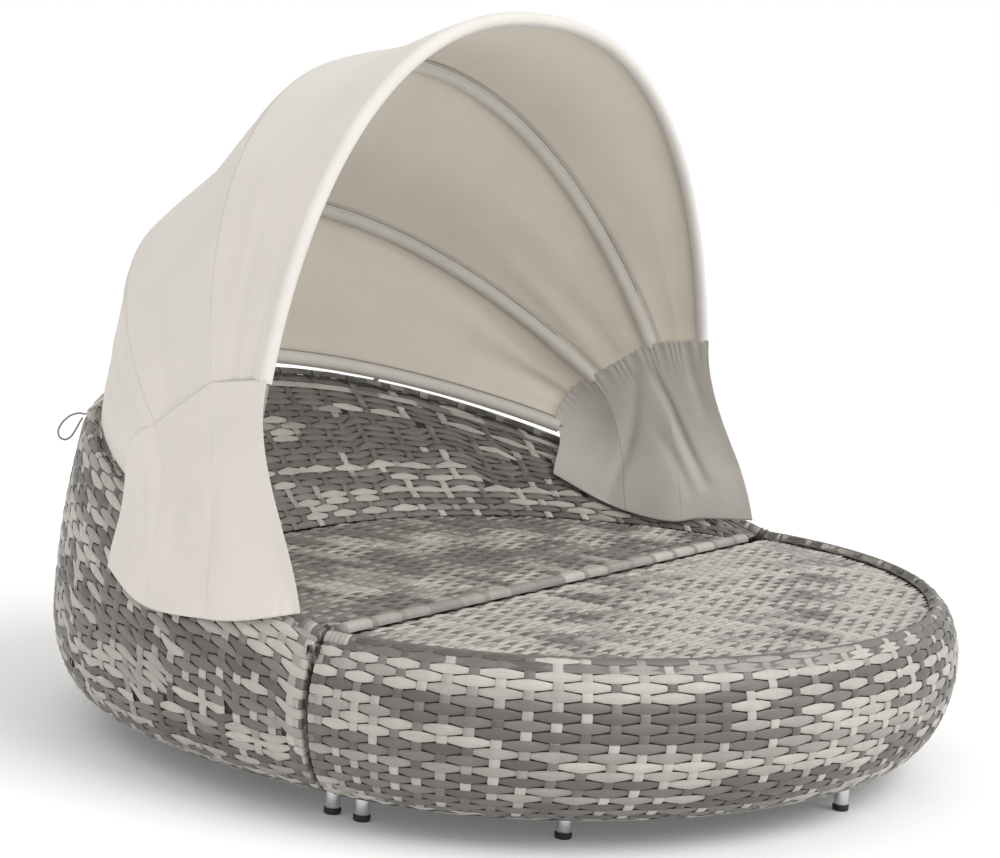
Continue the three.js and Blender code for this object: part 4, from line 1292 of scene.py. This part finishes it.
def bow_frame(bow, turns):
    """Centre line of a bow with its outward direction and the direction to the front."""
    centre = bow_point(bow, turns)
    plane = math.radians(bow["plane"])
    to_front = np.array([0, -math.sin(plane), -math.cos(plane)])
    outward = unit(np.cross(np.gradient(centre, axis=0), to_front))
    middle = len(turns) // 2
    if outward[middle] @ (centre[middle] - axis_point) < 0:
        outward = -outward
    return centre, outward, to_front


def bow_tube(bow, steps=150, sides=20):
    """A round tube along the bow, pressed flat towards its two drilled eyes."""
    first = bow_turn(bow, 0.006)
    fine = np.linspace(first, 180 - first, 6000)
    run = distance_run(bow_point(bow, fine))
    fine_ends = 0.2
    stops = np.concatenate([np.linspace(0, fine_ends, 24),
                            np.linspace(fine_ends, run[-1] - fine_ends, steps)[1:-1],
                            np.linspace(run[-1] - fine_ends, run[-1], 24)])
    turns = np.interp(stops, run, fine)
    centre, outward, to_front = bow_frame(bow, turns)
    from_pivot = np.interp(turns, fine, np.minimum(run, run[-1] - run))
    flat = np.clip((round_from - from_pivot) / press_length, 0, 1)
    flat = flat * flat * (3 - 2 * flat)
    thick = bow_radius + (eye_half - bow_radius) * flat
    wide = bow_radius + (bow_radius * math.pi / 2 - eye_half - bow_radius) * flat
    angle = np.linspace(0, 2 * np.pi, sides, endpoint=False)
    ring = (centre[:, None] + outward[:, None] * (thick[:, None] * np.cos(angle))[..., None]
            - to_front * (wide[:, None] * np.sin(angle))[..., None])
    points, faces = [ring.reshape(-1, 3)], [ring_quads(len(turns), sides)]
    count = len(points[0])
    for side in (-1, 1):
        eye, eye_quads = eye_ring(side * eye_place(bow))
        points.append(eye)
        faces.append(eye_quads + count)
        count += len(eye)
    return mesh_piece(bow["name"] + "_tube", np.concatenate(points), np.concatenate(faces),
                      powder_coat)


def eye_ring(x, outer=0.013, bore=0.0053, half=eye_half, sides=40):
    """Flat drilled end of a bow, with eased edges."""
    ease = 0.0006
    profile = [(bore, -half + ease), (bore + ease, -half), (outer - ease, -half),
               (outer, -half + ease), (outer, half - ease), (outer - ease, half),
               (bore + ease, half), (bore, half - ease)]
    angle = np.linspace(0, 2 * np.pi, sides, endpoint=False)
    points = np.array([[(x + h, pivot[1] + r * math.cos(a), pivot[2] + r * math.sin(a))
                        for a in angle] for r, h in profile]).reshape(-1, 3)
    return points, ring_quads(len(profile), sides, closed=True)


for bow in bow_list:
    piece = bow_tube(bow)
    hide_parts(bow["name"])
    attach(piece, bow["body"])
print("bows:", [b["name"] for b in bow_list])

# %% [markdown]
# The brackets, bolts, nuts, washers, ties and inner frames have their true shapes in the
# imported model already, so they stay and only get their finish. The inner frames are made
# nearly black, painted shade inside the baskets. Their imported meshes are facetted: smooth
# shading with the sharp edges split off keeps flats flat and rounds round.

# %% Pieces that stay as packed
# the inner frames get the nearly black finish, painted shade inside the baskets
finish_of = {"pivot_bracket": (powder_coat, "canopy_frame"), "pivot_bolt": (zinc, "pivot_steel"),
             "pivot_nut": (zinc, "pivot_steel"), "pivot_washer": (washer_nylon, "washer"),
             "front_frame": (inner_frame_painted_shade, "inner_frame"), "rear_frame": (inner_frame_painted_shade, "inner_frame"),
             "tie_strap": (canopy_cloth, "canopy_cloth")}
for node_name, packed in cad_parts.items():
    for start, (finish, slot_name) in finish_of.items():
        if node_name.startswith(start):
            packed.data.materials.clear()
            packed.data.materials.append(finish)
            if len(packed.data.polygons) and not node_name.endswith("frame"):
                packed.data.shade_smooth()
                edges = packed.modifiers.new("keep_edges", "EDGE_SPLIT")
                edges.split_angle = math.radians(35)
print("pieces kept as packed:", sum(name.startswith(tuple(finish_of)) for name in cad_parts))

# %% [markdown]
# The canopy cloth is one curved skin over the four bows. It is held tight at the
# tubes, sags a little between them and gathers small tension folds towards its lower
# corners. Cloth simulation would lose the seams, so the skin is a formula over the bows
# with folds added, and the three fields share their edges at the tubes. The loose lower
# ends of the rear field stand out a little, as they do on the real cloth.

# %% The canopy skin
cloth_offset = 0.0133
seam_radius = 0.330
billow_reach, billow_back, billow_out = 0.16, 0.028, 0.018
fold_count, fold_depth = 14, 0.005
fields = [("front", 0, 1, 0.013), ("middle", 1, 2, 0.017), ("rear", 2, 3, 0.011)]


def canopy_point(first, second, sag, across, along):
    """A point of the cloth between two bows: across from one to the other, along them."""
    def place(bow):
        seam = bow_turn(bow, seam_radius)
        return bow_point(bow, seam + (180 - 2 * seam) * along, cloth_offset)
    point = place(first) * (1 - across)[..., None] + place(second) * across[..., None]
    inward = unit((axis_point - point) * (0, 1, 1))
    dip = sag * np.sin(np.pi * across) ** 2 * np.sin(np.pi * along)
    if second is bow_list[3]:
        end = np.minimum(along, 1 - along)
        billow = np.sin(np.pi * np.clip(across, 0, 1)) * np.exp(-(end / billow_reach) ** 2)
        dip = dip - billow_back * billow
        point[..., 0] += np.sign(point[..., 0]) * billow_out * billow
    return point + inward * dip[..., None]


def folds(along, across, chance, count, depth):
    """Soft tension folds that run out from the lower corners of a field."""
    made = np.zeros_like(along)
    for _ in range(count):
        side = chance.choice([0.0, 1.0])
        line = chance.uniform(0.1, 0.9) + chance.uniform(-0.8, 0.8) * np.abs(along - side)
        run = np.abs(along - side)
        size = chance.uniform(0.3, 1.0) * depth
        length = chance.uniform(0.12, 0.3)
        made += (size * np.exp(-((across - line) / 0.085) ** 2) * np.exp(-(run / length) ** 2)
                 * np.sin(np.pi * np.clip(across, 0, 1)))
    return made


def cloth_piece(name, points, outward, thickness=0.001, inner=cloth_inside):
    """A thin two-sided sheet. Its outer side faces outward, its inner side has its own finish."""
    columns, rows = points.shape[:2]
    quads = grid_quads(columns, rows)
    corner = points[columns // 2:columns // 2 + 2, rows // 2:rows // 2 + 2]
    facing = np.cross(corner[1, 0] - corner[0, 0], corner[0, 1] - corner[0, 0])
    if facing @ np.asarray(outward) < 0:
        quads = quads[:, ::-1]
    piece = mesh_piece(name, points.reshape(-1, 3), quads, canopy_cloth)
    piece.data.materials.append(inner)
    area = sum(f.area for f in piece.data.polygons)
    solid = piece.modifiers.new("cloth_thickness", "SOLIDIFY")
    solid.thickness, solid.offset = thickness, 0
    solid.material_offset, solid.material_offset_rim = 1, 0
    return piece, area


def canopy_field(label, i, j, sag, seed, columns=200, rows=40):
    """One field of the canopy, with its own folds."""
    chance = np.random.default_rng(seed)
    along, across = np.meshgrid(np.linspace(0, 1, columns), np.linspace(0, 1, rows),
                                indexing="ij")
    points = canopy_point(bow_list[i], bow_list[j], sag, across, along)
    inward = unit(axis_point - points)
    points = points + inward * folds(along, across, chance, fold_count, fold_depth)[..., None]
    middle = points[columns // 2, rows // 2] - axis_point
    return cloth_piece("canopy_" + label + "_field", points, middle)


for seed, (label, i, j, sag) in enumerate(fields):
    piece, area = canopy_field(label, i, j, sag, 40 + seed)
    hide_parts("canopy_" + label + "_panel")
    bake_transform(piece)
    print(piece.name, "cloth", round(area, 3), "square metres")

# %% [markdown]
# At the two middle bows the cloth is sewn into sleeves, and at the front and rear ones it
# wraps the tube as a hem. Each is a narrow strip swept along its bow, with a section that
# goes round the tube and back onto the skin. They ride with their own bow.

# %% Sleeves and hems on the bows
def swept_band(name, bow, section, material, turns):
    """Sweeps a section along a bow. The section is given outward and towards the front."""
    centre, outward, to_front = bow_frame(bow, turns)
    section = np.asarray(section)
    points = (centre[:, None] + outward[:, None] * section[None, :, :1]
              + to_front * section[None, :, 1:])
    return mesh_piece(name, points.reshape(-1, 3), grid_quads(len(turns), len(section)), material)


def sleeve_turns(bow, first, last=None, count=240):
    """Turns between two distances from the pivot, or from side to side."""
    start = bow_turn(bow, first)
    return np.linspace(start, 180 - start if last is None else bow_turn(bow, last), count)


def stitches(name, bow, lines, first=0.335, pitch=0.0060, length=0.0050, width=0.0018):
    """Single stitches in rows: each line is given outward and towards the front."""
    fine = sleeve_turns(bow, first, count=3000)
    centre, outward, to_front = bow_frame(bow, fine)
    run = distance_run(centre)
    starts = np.arange(0, run[-1] - pitch, pitch)
    points = []
    for out, front in lines:
        for share, rise in ((0, 0.0), (0.5, 0.0005), (1, 0.0)):
            at = starts + share * length
            spot, normal = places_on(centre, run, at), places_on(outward, run, at)
            for half in (-0.5, 0.5):
                points.append(spot + normal * (out - rise) + to_front * (front + half * width))
    grid = np.array(points).reshape(len(lines), 6, len(starts), 3)
    points = grid.transpose(0, 2, 1, 3).reshape(-1, 3)
    base = 6 * np.arange(len(points) // 6)[:, None, None]
    quads = (base + np.array([[0, 1, 3, 2], [2, 3, 5, 4]])[None]).reshape(-1, 4)
    return mesh_piece(name, points, quads, seam_thread)


def round_section(radius, start, stop, count=14):
    """Part of a circle, given outward and towards the front."""
    angle = np.radians(np.linspace(start, stop, count))
    return np.stack([radius * np.cos(angle), radius * np.sin(angle)], -1).tolist()


sleeve_edge = [(0.0078, 0.0195), (0.0070, 0.0168), (0.0060, 0.0144)]
sleeve_section = (sleeve_edge + round_section(0.0138, 70, 290, 18)
                  + [(out, -front) for out, front in reversed(sleeve_edge)])
cuff_section = [(out - 0.0009, front * 1.09) for out, front in sleeve_section]
front_hem_section = round_section(0.0139, -3, 300, 22) + [(0.0066, -0.0165), (0.0074, -0.0205)]
rear_hem_section = round_section(0.0139, 3, -300, 22) + [(0.0066, 0.0165), (0.0074, 0.0205)]
seam_lines = [[(0.0057, -0.0178)], [(0.0058, 0.0168), (0.0058, -0.0168)],
              [(0.0058, 0.0168), (0.0058, -0.0168)], [(0.0057, 0.0178)]]
sections = [front_hem_section, sleeve_section, sleeve_section, rear_hem_section]
# the front hem's lighter finish is a painted highlight on the cloth round the tube
finishes = [hem_tape, sleeve_tape, sleeve_tape, sleeve_tape]
sleeves = []
for bow, section, finish, lines in zip(bow_list, sections, finishes, seam_lines):
    bands = [swept_band(bow["name"] + "_sleeve", bow, section, finish, sleeve_turns(bow, 0.33)),
             stitches(bow["name"] + "_stitches", bow, lines)]
    if section is sleeve_section:
        for side, flip in (("right", False), ("left", True)):
            turns = sleeve_turns(bow, 0.332, 0.455, 40)
            bands.append(swept_band(bow["name"] + "_cuff_" + side, bow, cuff_section, sleeve_tape,
                                    180 - turns if flip else turns))
    for band in bands:
        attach(band, bow["body"])
    sleeves += bands
print("sleeves and hems:", len(sleeves))

# %% [markdown]
# The two side flaps hang from the canopy's lower edges. The left one drops outside the
# arm, the right one is tucked inside it. Each is sewn from three gores, one between each
# two bows, and every gore tucks a little under the next one. First come the edges that hold
# a flap: the seam above, and a hem off the wall or the backrest.

# %% The edges of a flap
outer_hem = [(7, 0.64), (12, 0.50), (17.4, 0.42), (21.7, 0.42), (27.3, 0.52)]
outer_corner = (-0.872, -0.090, 0.378)
inner_hem = [(7, 0.42), (12.5, 0.12), (19, 0.14), (25, 0.26), (32, 0.5)]
inner_corner = (0.843, -0.108, 0.376)
outer_clearance, inner_clearance = 0.010, 0.009


def wall_place(turn, share, outside):
    """A point off the rear wall, as far out as asked."""
    top = float(rim_height(rear_basket, turn))
    rise = top - belly_height
    normal = unit(np.array([rise, 2 * belly_bulge * share]))
    return plan_point(rear_basket, turn, belly_bulge * (1 - share ** 2) + outside * normal[0],
                      belly_height + rise * share + outside * normal[1])


def back_place(turn, share, inside):
    """A point off the backrest, as far in as asked."""
    low, high = back_edges(turn)
    _, _, nx, ny = outline(rear_basket, turn)
    run = (high - low)[:2] @ np.array([nx, ny])
    slope = unit(np.array([run, high[2] - low[2]]))
    return low + (high - low) * share + inside * np.array([-slope[1] * nx, -slope[1] * ny, slope[0]])


def curve_at(points, shares):
    """Places along a smooth curve through the points."""
    fine = smooth_route(points, 60)
    return places_on(fine, np.arange(len(fine)), shares * (len(fine) - 1))


def seam_line(side, shares, up=0.0):
    """The canopy's lower edge at one side, front to rear, or a line a little way up."""
    along = np.full_like(shares, up if side > 0 else 1 - up)
    made = np.zeros(shares.shape + (3,))
    for field in range(3):
        here = (shares >= field / 3) & (shares <= (field + 1) / 3)
        across = np.clip(shares * 3 - field, 0, 1)
        made[here] = canopy_point(bow_list[field], bow_list[field + 1], 0, across, along)[here]
    return made


def seam_slope(side, shares, step=0.006):
    """The way the canopy runs down at its lower edge, as unit vectors."""
    return unit(seam_line(side, shares) - seam_line(side, shares, step))


print("the left hem has", len(outer_hem), "places, the right one", len(inner_hem))

# %% [markdown]
# The left flap rests on the arm and on the bow ends. A cloth simulation would find where
# it lies in one pose, but would let it cut into the arm in the folded ones. So the room is
# worked out from the formulas of the wall and the bows, at rest, half folded and folded.

# %% Room for the outer flap
folded_turns = [45.4, 33.3, 14.4, 0]
bolt_rise, bolt_reach = 0.0036, 0.03


def wall_side(y, z):
    """How far out the rear basket reaches at a depth and height, or nothing above its rim."""
    turns = np.linspace(0, 60, 400)
    x_out, y_out, _, _ = outline(rear_basket, turns)
    turn = np.interp(y - split_row, y_out, turns)
    top = rim_height(rear_basket, turn)
    share = np.clip((z - belly_height) / (top - belly_height), 0, 1)
    drop = np.clip(z - (top - roll_radius), 0, roll_radius)
    roll = np.sqrt(np.maximum(roll_radius ** 2 - drop ** 2, 0)) - roll_radius
    reach = np.where(z > top - roll_radius, roll, belly_bulge * (1 - share ** 2))
    return np.where(z > top, -1, np.interp(turn, turns, x_out) + reach)


def skin_side(u, away):
    """How far out the cloth lies over the bows at a distance from the pivot."""
    spot = np.clip(u * 3, 0, 2.9999)
    first = spot.astype(int)
    sides = []
    for bow in bow_list:
        half = eye_place(bow) + cloth_offset
        rise = np.clip(away / (bow["reach"] + cloth_offset), 0, 1) ** bow["power"]
        sides.append(half * (1 - rise) ** (1 / bow["power"]))
    sides = np.array(sides)
    share = spot - first
    return (np.take_along_axis(sides, first[None], 0)[0] * (1 - share)
            + np.take_along_axis(sides, first[None] + 1, 0)[0] * share)


def room_over_arm(u, points):
    """How far out the outer flap has to lie, over the bows and the arm."""
    ahead, above = points[..., 1] - pivot[1], points[..., 2] - pivot[2]
    away = np.hypot(ahead, above)
    over_bolt = bolt_rise * np.exp(-(away / bolt_reach) ** 2)
    limit = np.maximum(wall_side(points[..., 1], points[..., 2]) + outer_clearance,
                       skin_side(u, away) + 0.00075 + over_bolt)
    turned = np.radians(np.interp(u, [0, 1 / 3, 2 / 3, 1], folded_turns))
    at_rest = limit
    for a in (turned * 0.5, turned):
        there = wall_side(pivot[1] + ahead * np.cos(a) + above * np.sin(a),
                          pivot[2] - ahead * np.sin(a) + above * np.cos(a))
        limit = np.maximum(limit, there + 0.002)
    more = round(float((limit - at_rest).max()) * 1000, 1)
    print("the folded flap needs", more, "mm more room")
    return limit


print("the front edge of the canopy folds back by", folded_turns[0], "degrees")

# %% [markdown]
# Cloth that hangs from a gathered seam falls into a few soft creases. Each is a groove
# along a line from start to end, given as shares of the flap's length and height, with a
# width and a depth in metres. They are placed where the photograph shows them.

# %% Creases of the flaps
flap_long, flap_high = 0.42, 0.36


def crease(u, v, start, end, width, depth):
    """A soft groove along a line on the flap, deepest in its middle."""
    a, b = np.array(start), np.array(end)
    run = (b - a) * (flap_long, flap_high)
    place = np.stack([(u - a[0]) * flap_long, (v - a[1]) * flap_high], -1)
    t = (place @ run) / (run @ run)
    off = np.linalg.norm(place - np.clip(t, 0, 1)[..., None] * run, axis=-1)
    return depth * np.exp(-(off / width) ** 2) * (1 - 0.6 * np.abs(2 * np.clip(t, 0, 1) - 1))


flap_creases = {
    "left": [((0.30, 0.35), (0.36, 0.95), 0.013, 0.0045), ((0.52, 0.25), (0.55, 0.85), 0.016, 0.0055),
             ((0.68, 0.10), (0.50, 0.70), 0.018, 0.0040), ((0.16, 0.15), (0.20, 0.90), 0.022, 0.0035),
             ((0.80, 0.15), (0.75, 0.80), 0.014, 0.0040)],
    "right": [((0.36, 0.18), (0.17, 0.80), 0.013, 0.0110), ((0.47, 0.15), (0.78, 0.95), 0.017, 0.0090),
              ((0.42, 0.50), (0.25, 0.85), 0.018, 0.0050), ((0.88, 0.40), (0.62, 0.30), 0.022, 0.0040),
              ((0.10, 0.05), (0.08, 0.40), 0.014, 0.0040)]}


print("creases:", {label: len(lines) for label, lines in flap_creases.items()})

# %% [markdown]
# A flap is a sheet between its two edges that leaves the seam along the canopy's own slope
# and ends hanging. The creases and the small gathers under the seam are then added, and
# the outer flap is pushed out to its room and smoothed, so that it drapes over the arm.

# %% Lay a flap
def flap_grid(label, side, inside, columns=181, rows=91):
    """A flap's points, from front to rear along u and from seam to hem along v."""
    u, v = np.meshgrid(np.linspace(0, 1, columns), np.linspace(0, 1, rows), indexing="ij")
    edge = u[:, 0]
    if inside:
        hem = [np.array(inner_corner)]
        hem += [back_place(t, h, inner_clearance) for t, h in inner_hem]
    else:
        hem = [np.array(outer_corner)]
        hem += [wall_place(t, h, outer_clearance) * (-1, 1, 1) for t, h in outer_hem]
    top, slope, low = seam_line(side, edge), seam_slope(side, edge), curve_at(hem, edge)
    top = top - slope * 0.004
    if inside:
        top[:, 0] -= side * (cloth_offset + 0.013)
    reach = np.linalg.norm(low - top, axis=1, keepdims=True)
    hang = (low - top) / reach * 0.6 + np.array([0, 0, -0.4])
    t = v[..., None]
    point = ((2 * t ** 3 - 3 * t ** 2 + 1) * top[:, None]
             + (t ** 3 - 2 * t ** 2 + t) * (slope * reach)[:, None]
             + (3 * t ** 2 - 2 * t ** 3) * low[:, None]
             + (t ** 3 - t ** 2) * (hang * reach)[:, None])
    front_pull, rear_pull = (0.024, 0.0) if inside else (0.016, 0.044)
    point[..., 1] -= front_pull * np.exp(-u / 0.05) * (1 - v) ** 1.5
    point[..., 1] += rear_pull * (
        np.exp(-(1 - u) / 0.12) * (1 - np.exp(-v / 0.08)) * (1 - v) ** 1.2)
    groove = sum(crease(u, v, *line) for line in flap_creases[label])
    if inside:
        ripple = 0.0019 * np.sin(150 * u + 2.2 * np.sin(37 * u))
        ripple = ripple * np.exp(-v / 0.07) * np.clip(v / 0.02, 0.3, 1)
        corner = 0.012 * np.exp(-(u / 0.13) ** 2) * np.clip((v - 0.3) / 0.4, 0, 1) ** 2
        point[..., 0] += side * (groove + 1.1 * ripple)
        point[..., 0] += side * corner
        point[..., 2] += 0.002 * np.sin(163 * u + 1.5 * np.sin(29 * u)) * np.exp(-v / 0.02)
        return point
    curl = 0.011 * np.exp(-(u / 0.028) ** 2) * np.clip(v / 0.2, 0, 1)
    point[..., 0] -= side * groove
    point[..., 0] -= side * curl
    limit = room_over_arm(u, point)
    for _ in range(40):
        out = np.maximum(point[..., 0] * side, limit)
        smooth = 0.5 * out[:, 2:-1] + 0.25 * (out[:, 1:-2] + out[:, 3:])
        out[:, 2:-1] = np.maximum(limit[:, 2:-1], smooth)
        point[..., 0] = out * side
    return point


flap_grids = {"left": flap_grid("left", -1, False), "right": flap_grid("right", 1, True)}
print("flaps laid:", list(flap_grids))

# %% [markdown]
# Last the gores are cut from the laid flaps. Each one after the first reaches a little
# under the gore in front of it.

# %% Sew the gores
gore_thickness = 0.0004
for label, side, inside in (("left", -1, False), ("right", 1, True)):
    for gore in range(3):
        tuck = 0.0 if gore == 0 else 1.0
        u, v = np.meshgrid(np.linspace(0, 1, 66), np.linspace(0, 1, 91), indexing="ij")
        start = gore / 3 - tuck * (0.012 + 0.035 * v)
        along = start + (((gore + 1) / 3) - start) * u
        grid = flap_grids[label]
        points = between_points(grid, along * (grid.shape[0] - 1.001),
                                v * (grid.shape[1] - 1.001))
        under = np.clip((gore / 3 - along) / 0.008, 0, 1) * tuck
        points[..., 0] += under * gore_thickness * (1 if side < 0 else -1) * (-1 if inside else 1)
        # the right flap's inner face takes the darker finish, painted shade inside the arm
        piece, area = cloth_piece(f"flap_{label}_gore_{gore + 1}", points, (side, 0, 0),
                                  gore_thickness, flap_inside_painted_shade if inside else cloth_inside)
        if gore == 0:
            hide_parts("side_flap_" + label)
        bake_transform(piece)
print("flaps are sewn from three gores each")

# %% [markdown]
# The daybed stands on a pale floor in soft light, as in a catalogue. The world is white
# to the camera and to reflections but gives only plain light to the object, and the floor is
# nearly white yet still takes the shadow. Two wide suns light the floor evenly to the
# horizon, which an area lamp can't do.

# %% Floor and light
floor_material, _, floor_shader = new_material("floor", 0.9, specular=0.1)
floor_shader.inputs["Base Color"].default_value = (0.9, 0.9, 0.9, 1)
floor_shader.inputs["Emission Color"].default_value = (1, 1, 1, 1)
floor_shader.inputs["Emission Strength"].default_value = 0.12
floor_corners = [(-30, -30, 0), (30, -30, 0), (30, 30, 0), (-30, 30, 0)]
floor = mesh_piece("floor", floor_corners, [(0, 1, 2, 3)], floor_material, smooth=False)

world = bpy.data.worlds.new("world")
bpy.context.scene.world = world
world.use_nodes = True
tree = world.node_tree
background = tree.nodes["Background"]
seen = node(tree, "ShaderNodeBackground", Color=(1, 1, 1, 1), Strength=1.0)
plain = node(tree, "ShaderNodeBackground", Color=(1, 0.99, 0.975, 1), Strength=0.77)
rays = node(tree, "ShaderNodeLightPath")
first = node(tree, "ShaderNodeMath", operation="MAXIMUM")
second = node(tree, "ShaderNodeMath", operation="MAXIMUM")
choice = node(tree, "ShaderNodeMixShader")
tree.links.new(rays.outputs["Is Camera Ray"], first.inputs[0])
tree.links.new(rays.outputs["Is Glossy Ray"], first.inputs[1])
tree.links.new(first.outputs[0], second.inputs[0])
tree.links.new(rays.outputs["Is Transmission Ray"], second.inputs[1])
tree.links.new(second.outputs[0], choice.inputs[0])
tree.links.new(plain.outputs[0], choice.inputs[1])
tree.links.new(seen.outputs[0], choice.inputs[2])
tree.links.new(choice.outputs[0], tree.nodes["World Output"].inputs["Surface"])
tree.nodes.remove(background)


def soft_sun(name, source, angle, strength):
    """A wide sun that shines from the source towards the middle."""
    data = bpy.data.lights.new(name, "SUN")
    data.angle, data.energy = math.radians(angle), strength
    lamp = bpy.data.objects.new(name, data)
    bpy.context.scene.collection.objects.link(lamp)
    lamp.rotation_mode = "QUATERNION"
    lamp.rotation_quaternion = (-Vector(source)).to_track_quat("-Z", "Y")


soft_sun("key_sun", (0.5, -3.4, 3.6), 45, 1.5)
soft_sun("fill_sun", (-4.0, -1.6, 2.4), 60, 0.2)
bpy.context.scene.view_settings.view_transform = "Standard"
